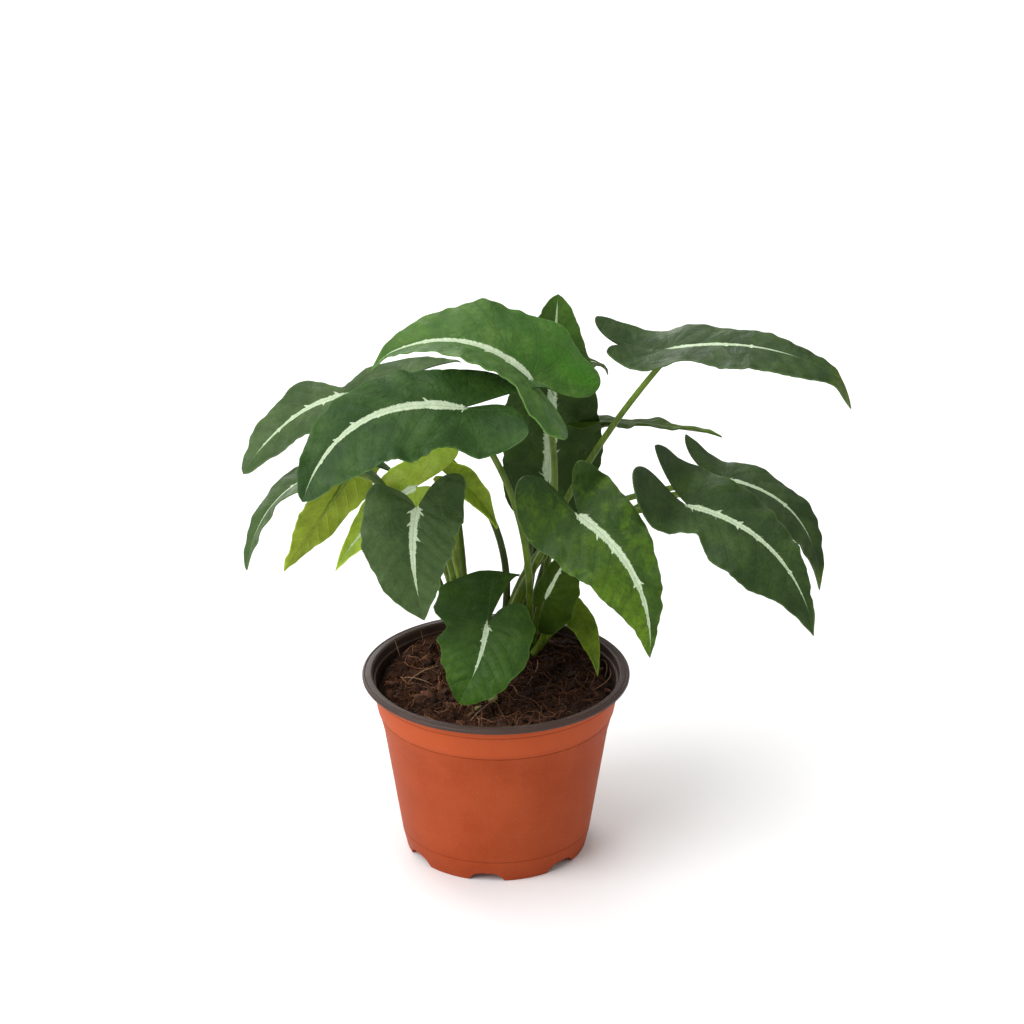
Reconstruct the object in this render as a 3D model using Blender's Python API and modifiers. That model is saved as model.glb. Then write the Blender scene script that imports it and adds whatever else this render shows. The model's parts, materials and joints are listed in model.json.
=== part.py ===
"""Potted syngonium: an arrowhead plant with silver midribs in a terracotta-coloured nursery pot.

Metres, +Z up. The origin is the centre of the pot's underside, and the photograph looks along +Y.
Places on the plant are written in millimetres and scaled by MM.
"""

import math
from collections import namedtuple

import bmesh
import bpy
from mathutils import Matrix, Vector, noise

MM = 0.001

# Pot: a thermoformed nursery pot with a folded-out rim
POT_HEIGHT = 0.108
RIM_RADIUS = 0.076
RIM_INNER_RADIUS = 0.070
RIM_DEPTH = 0.0026
RIM_ROUNDING = 0.0009
WALL = 0.0012
COLLAR_TOP_RADIUS = 0.0712
COLLAR_MID_HEIGHT = 0.0975
COLLAR_MID_RADIUS = 0.0696
COLLAR_FOOT_HEIGHT = 0.0825
COLLAR_FOOT_RADIUS = 0.0666
COLLAR_STEP = 0.0005
LEDGE_DEPTH = 0.0048
LEDGE_WIDTH = 0.0010
WAIST_HEIGHT = 0.0745
WAIST_RADIUS = 0.0640
HEEL_HEIGHT = 0.0105
HEEL_RADIUS = 0.0541
FOOT_RADIUS = 0.0516
FOOT_WIDTH = 0.0022
FLOOR_UNDERSIDE = 0.0060
PAD_RADIUS = 0.0130
PAD_SLOPE = 0.0015
NOTCH_COUNT = 7
NOTCH_WIDTH = 0.0290
NOTCH_TOP_SHARE = 0.45
NOTCH_HEIGHT = 0.0054
NOTCH_LENGTH = 0.0120
NOTCH_FIRST_ANGLE = math.radians(-96)
DRAIN_RADIUS = 0.0045
DRAIN_CIRCLE = 0.0400
DRAIN_SIDES = 12
TURN_STEPS = 40

# Soil: coir and bark, filled to just under the rim
GAP = 0.0003
SOIL_TOP = 0.0945
SOIL_CROWN = 0.0030
SOIL_RINGS = 5
SOIL_LUMP = 0.0018
SOIL_LUMPS_PER_METRE = 85.0

# Shoots: short stems that stand in plain holes in the soil, each at x, y in millimetres
STEM_RADIUS = 0.0056
STEM_NECK_RADIUS = 0.0044
STEM_FOOT = 0.0620
STEM_NECK = 0.0980
STEM_TOP = 0.1030
STEM_STEPS = 10
SHOOTS = {
    "shoot_front": (-6, -10),
    "shoot_left": (-16, 22),
    "shoot_centre": (2, 36),
    "shoot_right": (17, 35),
    "shoot_back": (13, 52),
}
FOOT_CIRCLE = 0.0022
FOOT_HEIGHT = 0.0985

# Leaves: rows and columns of one half of a blade, and the stalk with the rib under the blade
BLADE = 0.0008
LOBE_ROWS = 4
BLADE_ROWS = 8
COLUMNS = 3
NARROW = 18
NARROW_COLUMNS = 2
WAVES = 2.3
WAVE_SHIFT = 2.0
RIPPLE = 0.035
RIPPLES = 2.6
RIPPLE_SHIFT = 1.3
WAIST_PLACE = 0.10
WAIST_LENGTH = 0.16
TANGENT_STEP = 0.01
STALK_STEPS = 6
ELBOW_LEG = 0.0050
ELBOW_STEPS = 2
RIB_ROWS = 4
RIB_TIP_RADIUS = 0.0006
RIB_SINK = 0.0004
SHEATH = 1.45
WELD = 0.000001

Leaf = namedtuple(
    "Leaf",
    "shoot bow junction middle tip face twist width lobe lobe_tip sinus widest taper blunt waist "
    "fold arch lift wave stalk",
)


def leaf(shoot, bow, junction, middle, tip, face, twist=0, width=(36, 36), lobe=(0.34, 0.34),
         lobe_tip=(0.62, 0.62), sinus=(0.2, 0.2), widest=(0.32, 0.32), taper=(1.7, 1.7),
         blunt=0, waist=(0, 0), fold=(12, 12), arch=(25, 25), lift=(0, 0), wave=1.5, stalk=1.6):
    """One leaf: places and lengths in millimetres, angles in degrees, pairs as left and right.

    bow is a point that the stalk passes halfway, junction, middle and tip lie on the midrib, and
    face is the way the upper side looks. width, fold, arch and lift are of each half: how wide it
    is, how steeply it rises from the midrib, how far it bends down again by its margin, and how
    far its basal lobe is raised. lobe is the length of a basal lobe as a share of the midrib.
    lobe_tip and sinus are where that lobe ends and how its inner edge leaves the midrib, as
    shares of the width. widest is where a half is widest, and taper how full it stays from there.
    blunt is how round the tip is, from 0 for a point up to 0.5.
    waist is how far the margin is drawn in between the lobe and the rest, as a share of the width.
    """
    return Leaf(shoot, bow, junction, middle, tip, face, twist, width, lobe, lobe_tip, sinus,
                widest, taper, blunt, waist, fold, arch, lift, wave, stalk)


LEAVES = {
    "crown_left": leaf(
        "shoot_right", bow=(33, 17, 218), junction=(19, 2, 285), middle=(-22, 6, 305),
        tip=(-69, 12, 290), face=(0.1, -0.3, 1), width=(38, 45), lobe=(0.36, 0.37),
        lobe_tip=(0.5, 0.55), widest=(0.24, 0.22), taper=(1.1, 1.4), blunt=0.1, waist=(0.35, 0),
        fold=(20, 20), arch=(12, 26), lift=(-3, 3)),
    "broad_left": leaf(
        "shoot_right", bow=(14, -2, 199), junction=(-18, -25, 278), middle=(-71, -47, 279),
        tip=(-103, -67, 242), face=(0, -0.75, 1), width=(34, 25), lobe=(0.30, 0.44),
        lobe_tip=(0.45, 0.25), sinus=(-0.3, 0.8), widest=(0.38, 0.26), taper=(1.8, 1.7),
        blunt=0.4, waist=(0.15, 0), lift=(9, 15)),
    "far_left": leaf(
        "shoot_centre", bow=(-5, 36, 192), junction=(-78, 34, 262), middle=(-110, 26, 254),
        tip=(-141, 12, 225), face=(-0.2, -0.5, 1), width=(19, 26), lobe=(0.34, 0.75),
        lobe_tip=(0.5, 0.5), sinus=(0.2, 0.9), widest=(0.3, 0.3), taper=(2.2, 1.2), blunt=0.45,
        waist=(0, 0.7), lift=(0, 12)),
    "low_left": leaf(
        "shoot_left", bow=(-43, 18, 181), junction=(-77, 10, 230), middle=(-119, 2, 215),
        tip=(-139, -12, 177), face=(-0.3, -0.1, 1), width=(15, 15), lobe=(0.22, 0.22),
        lobe_tip=(0.8, 0.8), blunt=0.3, fold=(25, 15), lift=(-25, -12)),
    "hanging_left": leaf(
        "shoot_left", bow=(-37, 28, 179), junction=(-82, 34, 217), middle=(-101, 34, 186),
        tip=(-121, 26, 159), face=(-0.4, 0.9, 0.3), width=(17, 19), taper=(1.9, 2.1)),
    "young_left": leaf(
        "shoot_left", bow=(-23, 18, 168), junction=(-45, 6, 218), middle=(-66, 6, 201),
        tip=(-90, -2, 172), face=(-0.2, -0.9, 0.6), width=(16, 17), lobe=(0.2, 0.5)),
    "heart_left": leaf(
        "shoot_left", bow=(-27, -2, 180), junction=(-43, -30, 221), middle=(-45, -42, 195),
        tip=(-39, -48, 163), face=(0, -1, 0.35), width=(26, 29), lobe=(0.38, 0.14),
        lobe_tip=(0.7, 0.85), sinus=(0.3, 0.3), widest=(0.26, 0.26), taper=(2.0, 2.0), blunt=0.15),
    "heart_front": leaf(
        "shoot_front", bow=(2, -10, 119), junction=(-5, -22, 146), middle=(-10, -38, 130),
        tip=(-20, -44, 110), face=(0, -0.9, 0.5), width=(27, 31), lobe=(0.34, 0.82),
        lobe_tip=(0.6, -0.5), sinus=(0.26, -0.35), taper=(1.8, 1.8), blunt=0.35,
        waist=(0, 0.2)),
    "heart_right": leaf(
        "shoot_centre", bow=(24, 12, 172), junction=(46, -22, 213), middle=(76, -44, 186),
        tip=(85, -56, 144), face=(0.2, -0.9, 0.6), width=(28, 30), lobe=(0.15, 0.34),
        lobe_tip=(0.65, 0.35), sinus=(0.36, -0.2), widest=(0.13, 0.24), taper=(1.15, 2.2),
        lift=(20, 24)),
    "inner_right": leaf(
        "shoot_right", bow=(28, 16, 124), junction=(28, 4, 151), middle=(37, 2, 171),
        tip=(46, 2, 187), face=(-0.2, -1, 0.3), width=(8, 18), lobe=(0.2, 0.52),
        lobe_tip=(0.5, 0.3)),
    "hanging_right": leaf(
        "shoot_right", bow=(34, 28, 122), junction=(41, 30, 134), middle=(52, 22, 121),
        tip=(58, 6, 102), face=(0.2, -1, 0.4), width=(8, 8), lobe=(0.15, 0.15)),
    "upright": leaf(
        "shoot_back", bow=(19, 44, 161), junction=(30, 52, 203), middle=(32, 60, 255),
        tip=(35, 66, 312), face=(0, -1, 0.1), width=(28, 30), lobe=(0.18, 0.3),
        widest=(0.36, 0.36), taper=(1.7, 1.7), blunt=0.3),
    "crown_right": leaf(
        "shoot_centre", bow=(40, 31, 200), junction=(97, 16, 297), middle=(149, 4, 301),
        tip=(195, -6, 284), face=(-0.1, -0.25, 1), width=(20, 25), lobe=(0.38, 0.30),
        lobe_tip=(0.75, 0.7), sinus=(-0.1, 0.15), widest=(0.28, 0.3), taper=(1.0, 2.2),
        blunt=0.3, waist=(0, 0.35), lift=(20, 14)),
    "edge_right": leaf(
        "shoot_back", bow=(37, 50, 182), junction=(59, 62, 235), middle=(88, 66, 232),
        tip=(129, 60, 228), face=(0, 0.26, 1), width=(18, 18), blunt=0.3),
    "broad_right": leaf(
        "shoot_centre", bow=(34, 12, 181), junction=(107, -6, 212), middle=(151, -28, 196),
        tip=(175, -50, 157), face=(0.3, -0.7, 1), width=(28, 34), lobe=(0.23, 0.25),
        lobe_tip=(0.6, 0.3), sinus=(0.46, -0.2), widest=(0.19, 0.4), taper=(1.2, 2.4),
        waist=(0, 0.4), lift=(24, 32)),
    "far_right": leaf(
        "shoot_centre", bow=(37, 33, 179), junction=(131, 34, 211), middle=(168, 22, 195),
        tip=(183, 8, 159), face=(0.4, -0.4, 1), width=(17, 22), lobe_tip=(0.8, 0.7),
        sinus=(0, 0.2), taper=(2.2, 2.0), lift=(14, 10)),
    "small_back": leaf(
        "shoot_back", bow=(25, 60, 175), junction=(37, 90, 254), middle=(54, 100, 257),
        tip=(65, 104, 249), face=(0.1, 0.1, 1), width=(14, 14)),
    "young_centre": leaf(
        "shoot_left", bow=(-22, 26, 160), junction=(-23, 26, 214), middle=(-11, 26, 204),
        tip=(1, 24, 186), face=(0, -0.7, 0.7), width=(10, 10), fold=(40, 40)),
    "back_high": leaf(
        "shoot_back", bow=(21, 78, 190), junction=(12, 98, 270), middle=(-5, 126, 272),
        tip=(-24, 152, 250), face=(0.2, 0.3, 1), width=(25, 25), lobe=(0.3, 0.3)),
    "back_left": leaf(
        "shoot_left", bow=(-23, 56, 185), junction=(-38, 90, 232), middle=(-62, 106, 226),
        tip=(-86, 116, 200), face=(0, 0.5, 1), width=(22, 20), lobe=(0.3, 0.3)),
    "back_right": leaf(
        "shoot_back", bow=(66, 54, 174), junction=(120, 66, 190), middle=(140, 84, 182),
        tip=(152, 102, 154), face=(0.3, 0.5, 1), width=(22, 22), lobe=(0.3, 0.3)),
    "back_low": leaf(
        "shoot_left", bow=(-28, 48, 145), junction=(-40, 78, 155), middle=(-54, 100, 146),
        tip=(-62, 112, 118), face=(-0.3, 0.8, 0.7), width=(20, 20), lobe=(0.3, 0.3)),
    "back_drooping": leaf(
        "shoot_back", bow=(34, 62, 144), junction=(46, 76, 150), middle=(60, 96, 142),
        tip=(66, 108, 112), face=(0.3, 0.8, 0.7), width=(20, 20), lobe=(0.3, 0.3)),
}

LEAF_GREEN = (0.040, 0.125, 0.030)
POT_TERRACOTTA = (0.420, 0.105, 0.035)
SOIL_BROWN = (0.030, 0.014, 0.008)


def make_material(name, colour, roughness):
    material = bpy.data.materials.new(name)
    material.use_nodes = True
    shader = material.node_tree.nodes["Principled BSDF"]
    shader.inputs["Base Color"].default_value = (*colour, 1.0)
    shader.inputs["Roughness"].default_value = roughness
    shader.inputs["Metallic"].default_value = 0.0
    return material


def clear_scene():
    for item in list(bpy.data.objects):
        bpy.data.objects.remove(item, do_unlink=True)


def new_collection(name):
    group = bpy.data.collections.new(name)
    bpy.context.scene.collection.children.link(group)
    return group


def mesh_object(name, vertices, edges, faces, group):
    mesh = bpy.data.meshes.new(name)
    mesh.from_pydata([tuple(v) for v in vertices], edges, faces)
    item = bpy.data.objects.new(name, mesh)
    group.objects.link(item)
    return item


def evaluated_mesh(item):
    """The mesh of an object with its modifiers, or of a curve with its bevel."""
    depsgraph = bpy.context.evaluated_depsgraph_get()
    depsgraph.update()
    return bpy.data.meshes.new_from_object(item.evaluated_get(depsgraph))


def apply_modifiers(item):
    mesh = evaluated_mesh(item)
    item.modifiers.clear()
    item.data = mesh


def turned(name, profile, steps, group):
    """A body turned from a profile of (radius, height) points whose ends lie on the axis."""
    points = [(radius, 0.0, height) for radius, height in profile]
    edges = [(i, i + 1) for i in range(len(points) - 1)]
    item = mesh_object(name, points, edges, [], group)
    screw = item.modifiers.new("Turn", "SCREW")
    screw.steps = steps
    screw.render_steps = steps
    screw.use_merge_vertices = True
    screw.merge_threshold = 0.00001
    return item


def cut(item, cutters):
    """Cut every object of a collection out of an object, and hide the collection's objects."""
    for cutter in cutters.objects:
        cutter.hide_render = True
        cutter.display_type = "WIRE"
    difference = item.modifiers.new("Cuts", "BOOLEAN")
    difference.operation = "DIFFERENCE"
    difference.solver = "EXACT"
    difference.operand_type = "COLLECTION"
    difference.collection = cutters


def upright_cylinder(name, radius, low, high, sides, place, group):
    mesh = bpy.data.meshes.new(name)
    shape = bmesh.new()
    matrix = Matrix.Translation((place[0], place[1], (low + high) / 2))
    bmesh.ops.create_cone(shape, cap_ends=True, segments=sides, radius1=radius, radius2=radius,
                          depth=high - low, matrix=matrix)
    shape.to_mesh(mesh)
    shape.free()
    item = bpy.data.objects.new(name, mesh)
    group.objects.link(item)
    return item


def outer_wall():
    """The outside of the pot's wall from under the rim to the foot, as (radius, height)."""
    return [
        (COLLAR_TOP_RADIUS, POT_HEIGHT - RIM_DEPTH),
        (COLLAR_MID_RADIUS, COLLAR_MID_HEIGHT),
        (COLLAR_FOOT_RADIUS, COLLAR_FOOT_HEIGHT),
        (COLLAR_FOOT_RADIUS - COLLAR_STEP, COLLAR_FOOT_HEIGHT - COLLAR_STEP),
        (WAIST_RADIUS, WAIST_HEIGHT),
        (HEEL_RADIUS, HEEL_HEIGHT),
        (FOOT_RADIUS, 0.0),
    ]


def wall_radius(height):
    """Outer radius of the straight wall and heel at a height below the waist."""
    if height > HEEL_HEIGHT:
        share = (height - HEEL_HEIGHT) / (WAIST_HEIGHT - HEEL_HEIGHT)
        return HEEL_RADIUS + (WAIST_RADIUS - HEEL_RADIUS) * share
    return FOOT_RADIUS + (HEEL_RADIUS - FOOT_RADIUS) * height / HEEL_HEIGHT


def inner_wall(inset):
    """The inside of the pot from the middle of its floor up to the ledge, moved in by inset."""
    floor = FLOOR_UNDERSIDE + WALL
    corner = PAD_RADIUS + PAD_SLOPE / 2 - WALL
    side = WALL + inset
    return [
        (0.0, WALL + inset),
        (corner - inset, WALL + inset),
        (corner + PAD_SLOPE - inset, floor + inset),
        (wall_radius(floor) - side, floor + inset),
        (HEEL_RADIUS - side, HEEL_HEIGHT),
        (WAIST_RADIUS - side, WAIST_HEIGHT),
        (COLLAR_FOOT_RADIUS - COLLAR_STEP - side, COLLAR_FOOT_HEIGHT - COLLAR_STEP),
        (COLLAR_FOOT_RADIUS - side, COLLAR_FOOT_HEIGHT),
    ]


def rim_profile():
    """Round the rim, from the ledge inside it to under its outer edge."""
    ledge = POT_HEIGHT - LEDGE_DEPTH
    wide = RIM_INNER_RADIUS - WALL / 2
    return [
        (COLLAR_MID_RADIUS - WALL, COLLAR_MID_HEIGHT),
        (wide - LEDGE_WIDTH, ledge),
        (wide, ledge),
        (RIM_INNER_RADIUS, POT_HEIGHT - RIM_ROUNDING),
        (RIM_INNER_RADIUS + RIM_ROUNDING, POT_HEIGHT),
        (RIM_RADIUS - RIM_ROUNDING, POT_HEIGHT),
        (RIM_RADIUS, POT_HEIGHT - RIM_ROUNDING),
        (RIM_RADIUS, POT_HEIGHT - RIM_DEPTH),
    ]


def underside():
    """From the foot's outer edge to the middle of the flat pad that the pot also stands on."""
    return [
        (FOOT_RADIUS - FOOT_WIDTH, 0.0),
        (FOOT_RADIUS - FOOT_WIDTH, FLOOR_UNDERSIDE),
        (PAD_RADIUS + PAD_SLOPE, FLOOR_UNDERSIDE),
        (PAD_RADIUS, 0.0),
        (0.0, 0.0),
    ]


def foot_notch(index, group):
    """An arched opening through the foot ring."""
    angle = NOTCH_FIRST_ANGLE + index * math.tau / NOTCH_COUNT
    mesh = bpy.data.meshes.new(f"notch_{index}")
    shape = bmesh.new()
    size = Matrix.Diagonal((NOTCH_LENGTH, NOTCH_WIDTH, 2 * NOTCH_HEIGHT, 1.0))
    bmesh.ops.create_cube(shape, size=1.0, matrix=size)
    for vertex in shape.verts:
        if vertex.co.z > 0:
            vertex.co.y *= NOTCH_TOP_SHARE
    outward = Matrix.Translation((FOOT_RADIUS, 0.0, 0.0))
    shape.transform(Matrix.Rotation(angle, 4, "Z") @ outward)
    shape.to_mesh(mesh)
    shape.free()
    item = bpy.data.objects.new(f"notch_{index}", mesh)
    group.objects.link(item)


def drain_hole(index, group):
    angle = NOTCH_FIRST_ANGLE + index * math.tau / NOTCH_COUNT
    place = (DRAIN_CIRCLE * math.cos(angle), DRAIN_CIRCLE * math.sin(angle))
    top = FLOOR_UNDERSIDE + 2 * WALL
    upright_cylinder(f"drain_{index}", DRAIN_RADIUS, WALL, top, DRAIN_SIDES, place, group)


def make_pot(group):
    profile = inner_wall(0.0) + rim_profile() + outer_wall() + underside()
    pot = turned("pot", profile, TURN_STEPS, group)
    cutters = new_collection("pot_cutters")
    for index in range(NOTCH_COUNT):
        foot_notch(index, cutters)
        drain_hole(index, cutters)
    cut(pot, cutters)
    pot.data.materials.append(make_material("terracotta_plastic", POT_TERRACOTTA, 0.45))
    return pot


def soil_height(x, y):
    """Height of the soil's lumpy top at a place."""
    edge = COLLAR_MID_RADIUS - WALL
    share = min(1.0, math.hypot(x, y) / edge)
    lump = noise.noise(Vector((x, y, 0.0)) * SOIL_LUMPS_PER_METRE)
    return SOIL_TOP + SOIL_CROWN * (1.0 - share**2) + SOIL_LUMP * lump


def make_soil(group):
    bottom = inner_wall(GAP)
    inset = WALL + GAP
    collar = (SOIL_TOP - COLLAR_FOOT_HEIGHT) / (COLLAR_MID_HEIGHT - COLLAR_FOOT_HEIGHT)
    edge = COLLAR_FOOT_RADIUS + (COLLAR_MID_RADIUS - COLLAR_FOOT_RADIUS) * collar - inset
    top = [(edge * (1 - ring / SOIL_RINGS), SOIL_TOP) for ring in range(SOIL_RINGS + 1)]
    soil = turned("soil", bottom + top, TURN_STEPS, group)
    apply_modifiers(soil)
    for vertex in soil.data.vertices:
        x, y, z = vertex.co
        if z > SOIL_TOP - GAP and math.hypot(x, y) < edge - GAP:
            vertex.co.z = soil_height(x, y)
    cutters = new_collection("soil_cutters")
    for name, (x, y) in SHOOTS.items():
        place = (x * MM, y * MM)
        upright_cylinder(f"hole_{name}", STEM_RADIUS + GAP, STEM_FOOT - GAP, POT_HEIGHT,
                         STEM_STEPS * 2, place, cutters)
    cut(soil, cutters)
    soil.data.materials.append(make_material("potting_soil", SOIL_BROWN, 0.95))
    return soil


def arc_through(first, middle, last, share):
    """A point of the smooth arc that passes middle halfway from first to last."""
    bend = middle * 2 - (first + last) / 2
    return first * (1 - share)**2 + bend * (2 * share * (1 - share)) + last * share**2


def midrib(spec):
    return [Vector(point) * MM for point in (spec.junction, spec.middle, spec.tip)]


def midrib_length(spec):
    junction, middle, tip = midrib(spec)
    return (middle - junction).length + (tip - middle).length


def rib_frame(spec, share):
    """Place on the midrib and the ways ahead, to the left and up from the blade there."""
    points = midrib(spec)
    near = max(0.0, share - TANGENT_STEP)
    far = min(1.0, share + TANGENT_STEP)
    ahead = (arc_through(*points, far) - arc_through(*points, near)).normalized()
    up = Vector(spec.face)
    up = (up - ahead * up.dot(ahead)).normalized()
    up = Matrix.Rotation(math.radians(spec.twist) * share, 3, ahead) @ up
    return arc_through(*points, share), ahead, up.cross(ahead), up


def smooth_margin(spec, share, hand):
    """Round from the lobe's end to the widest place, then tapering to the tip."""
    lobe = spec.lobe[hand]
    widest = spec.widest[hand]
    along = (share + lobe) / (1 + lobe)
    if along < widest:
        round_end = math.sqrt(max(0.0, 1 - (1 - along / widest)**2))
        return spec.lobe_tip[hand] + (1 - spec.lobe_tip[hand]) * round_end
    narrowing = max(0.0, 1 - ((along - widest) / (1 - widest))**spec.taper[hand])
    return narrowing**(1 - spec.blunt)


def margin(spec, share, hand):
    """How far the uneven margin lies from the midrib's line, as a share of the half's width."""
    ripple = math.sin(math.tau * RIPPLES * share + RIPPLE_SHIFT * hand + spec.width[0])
    drawn_in = spec.waist[hand] * math.exp(-((share - WAIST_PLACE) / WAIST_LENGTH)**2)
    return smooth_margin(spec, share, hand) * (1 + RIPPLE * ripple - drawn_in)


def sinus_edge(spec, share, hand):
    """Inner edge of a basal lobe, as a share of the half's width."""
    if share >= 0:
        return 0.0
    back = min(1.0, -share / spec.lobe[hand])
    late = 1 - math.sqrt(1 - back**4)
    return spec.sinus[hand] * back + (spec.lobe_tip[hand] - spec.sinus[hand]) * late


def blade_point(spec, share, across, hand):
    """A point of the blade: share runs along the midrib, across from inner edge to margin."""
    side = 1 if hand == 0 else -1
    width = spec.width[hand] * MM
    inner = sinus_edge(spec, share, hand) * width
    outer = margin(spec, share, hand) * width
    offset = inner + (outer - inner) * across
    place, ahead, left, up = rib_frame(spec, max(0.0, share))
    fold = math.radians(spec.fold[hand])
    bend = math.radians(spec.arch[hand]) / width
    sideways = (math.sin(fold) - math.sin(fold - bend * offset)) / bend
    rise = (math.cos(fold - bend * offset) - math.cos(fold)) / bend
    behind = min(0.0, share)
    rise += spec.lift[hand] * MM * (behind / spec.lobe[hand])**2
    near_margin = offset / width
    wave = math.sin(math.tau * WAVES * share + WAVE_SHIFT * hand)
    rise += spec.wave * MM * near_margin**2 * wave
    return place + ahead * (behind * midrib_length(spec)) + left * (side * sideways) + up * rise


def half_rows(spec, hand):
    """Shares along the midrib of the rows of one half, from the end of its lobe to the tip."""
    lobe = spec.lobe[hand]
    back = [-lobe * math.sin(math.pi / 2 * row / LOBE_ROWS) for row in range(LOBE_ROWS, 0, -1)]
    return back + [row / BLADE_ROWS for row in range(BLADE_ROWS + 1)]


def blade_surface(spec):
    """Vertices and triangles of a blade's upper side. Both halves share the midrib."""
    vertices = []
    faces = []
    rib = {}
    columns = NARROW_COLUMNS if max(spec.width) <= NARROW else COLUMNS
    for hand in (0, 1):
        rows = []
        for share in half_rows(spec, hand):
            pointed = share in (-spec.lobe[hand], 1.0)
            row = []
            for column in range(1 if pointed else columns + 1):
                on_rib = column == 0 and share >= 0
                if not (on_rib and share in rib):
                    vertices.append(blade_point(spec, share, column / columns, hand))
                    index = len(vertices) - 1
                if on_rib:
                    index = rib.setdefault(share, index)
                row.append(index)
            rows.append(row if not pointed else row * (columns + 1))
        for near, far in zip(rows, rows[1:]):
            faces += row_faces(near, far, hand)
    return vertices, faces


def row_faces(near, far, hand):
    """Triangles between two rows, facing up from the blade."""
    faces = []
    for column in range(len(near) - 1):
        quad = [near[column], far[column], far[column + 1], near[column + 1]]
        for corners in (quad[:3], [quad[0], quad[2], quad[3]]):
            if len(set(corners)) == 3:
                faces.append(corners if hand == 0 else corners[::-1])
    return faces


def make_blade(name, spec, group):
    vertices, faces = blade_surface(spec)
    blade = mesh_object(name, vertices, [], faces, group)
    shell = blade.modifiers.new("Thickness", "SOLIDIFY")
    shell.thickness = BLADE
    shell.offset = -1.0
    apply_modifiers(blade)
    return blade


def rib_point(spec, share, radius):
    """Centre of the rib under the blade, sunk a little into it."""
    place, _, _, up = rib_frame(spec, share)
    return place - up * (radius + RIB_SINK)


def stalk_line(spec):
    """Points and radii of a leaf's stalk, its elbow under the blade and the rib."""
    shoot = Vector((*SHOOTS[spec.shoot], 0.0)) * MM
    bow = Vector(spec.bow) * MM
    outward = (bow - shoot)
    outward.z = 0.0
    foot = shoot + outward.normalized() * FOOT_CIRCLE
    foot.z = FOOT_HEIGHT
    radius = spec.stalk * MM
    end = rib_point(spec, 0.0, radius)
    line = [arc_through(foot, bow, end, step / STALK_STEPS) for step in range(STALK_STEPS + 1)]
    ribs = [rib_point(spec, row / BLADE_ROWS, radius + (RIB_TIP_RADIUS - radius) * row / RIB_ROWS)
            for row in range(1, RIB_ROWS + 1)]
    leg = min(ELBOW_LEG, (ribs[0] - line[-1]).length / 2)
    before = line[-1] + (line[-2] - line[-1]).normalized() * leg
    after = line[-1] + (ribs[0] - line[-1]).normalized() * leg
    elbow = [before.lerp(line[-1], share).lerp(line[-1].lerp(after, share), share)
             for share in (step / (ELBOW_STEPS + 1) for step in range(1, ELBOW_STEPS + 1))]
    points = line[:-1] + [before] + elbow + [after] + ribs
    sheath = [SHEATH + (1 - SHEATH) * step / STALK_STEPS for step in range(STALK_STEPS)]
    radii = [radius * share for share in sheath] + [radius] * (ELBOW_STEPS + 2)
    radii += [radius + (RIB_TIP_RADIUS - radius) * row / RIB_ROWS for row in range(1, RIB_ROWS + 1)]
    return points, radii


def tube(name, points, radii, group):
    """A closed round tube through the points, as a mesh."""
    curve = bpy.data.curves.new(name, "CURVE")
    curve.dimensions = "3D"
    curve.bevel_depth = 1.0
    curve.bevel_resolution = 1
    curve.use_fill_caps = True
    spline = curve.splines.new("POLY")
    spline.points.add(len(points) - 1)
    for knot, point, radius in zip(spline.points, points, radii):
        knot.co = (*point, 1.0)
        knot.radius = radius
    guide = bpy.data.objects.new(name, curve)
    group.objects.link(guide)
    mesh = evaluated_mesh(guide)
    bpy.data.objects.remove(guide, do_unlink=True)
    shape = bmesh.new()
    shape.from_mesh(mesh)
    bmesh.ops.remove_doubles(shape, verts=shape.verts, dist=WELD)
    shape.to_mesh(mesh)
    shape.free()
    item = bpy.data.objects.new(name, mesh)
    group.objects.link(item)
    return item


def make_stem(name, group):
    """The short stem of a shoot, from its foot in the soil to where the stalks leave it."""
    profile = [
        (0.0, STEM_TOP),
        (STEM_NECK_RADIUS / 2, STEM_TOP),
        (STEM_NECK_RADIUS, STEM_NECK),
        (STEM_RADIUS, SOIL_TOP - GAP),
        (STEM_RADIUS, STEM_FOOT),
        (0.0, STEM_FOOT),
    ]
    stem = turned(name, profile, STEM_STEPS, group)
    apply_modifiers(stem)
    x, y = SHOOTS[name]
    stem.data.transform(Matrix.Translation((x * MM, y * MM, 0.0)))
    return stem


def make_shoot(name, group, material):
    """A stem with its leaves, fused into one body."""
    shoot = make_stem(name, group)
    pieces = new_collection(f"{name}_pieces")
    for leaf_name, spec in LEAVES.items():
        if spec.shoot == name:
            make_blade(f"{leaf_name}_blade", spec, pieces)
            tube(f"{leaf_name}_stalk", *stalk_line(spec), pieces)
    union = shoot.modifiers.new("Union", "BOOLEAN")
    union.operation = "UNION"
    union.solver = "EXACT"
    union.operand_type = "COLLECTION"
    union.collection = pieces
    apply_modifiers(shoot)
    for item in list(pieces.objects):
        bpy.data.objects.remove(item, do_unlink=True)
    bpy.data.collections.remove(pieces)
    shoot.data.materials.clear()
    shoot.data.materials.append(material)
    return shoot


def main():
    clear_scene()
    plant = new_collection("potted_syngonium")
    make_pot(plant)
    make_soil(plant)
    green = make_material("leaf_green", LEAF_GREEN, 0.45)
    for name in SHOOTS:
        make_shoot(name, plant, green)


main()
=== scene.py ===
"""The dressed potted syngonium: fine blades with silver bands, stalks, coir and the pot.

Metres, +Z up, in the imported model's frame. Places on the plant are in millimetres.
"""

import json
import math
import random
from collections import namedtuple

import bmesh
import bpy
from mathutils import Matrix, Vector, noise

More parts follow.
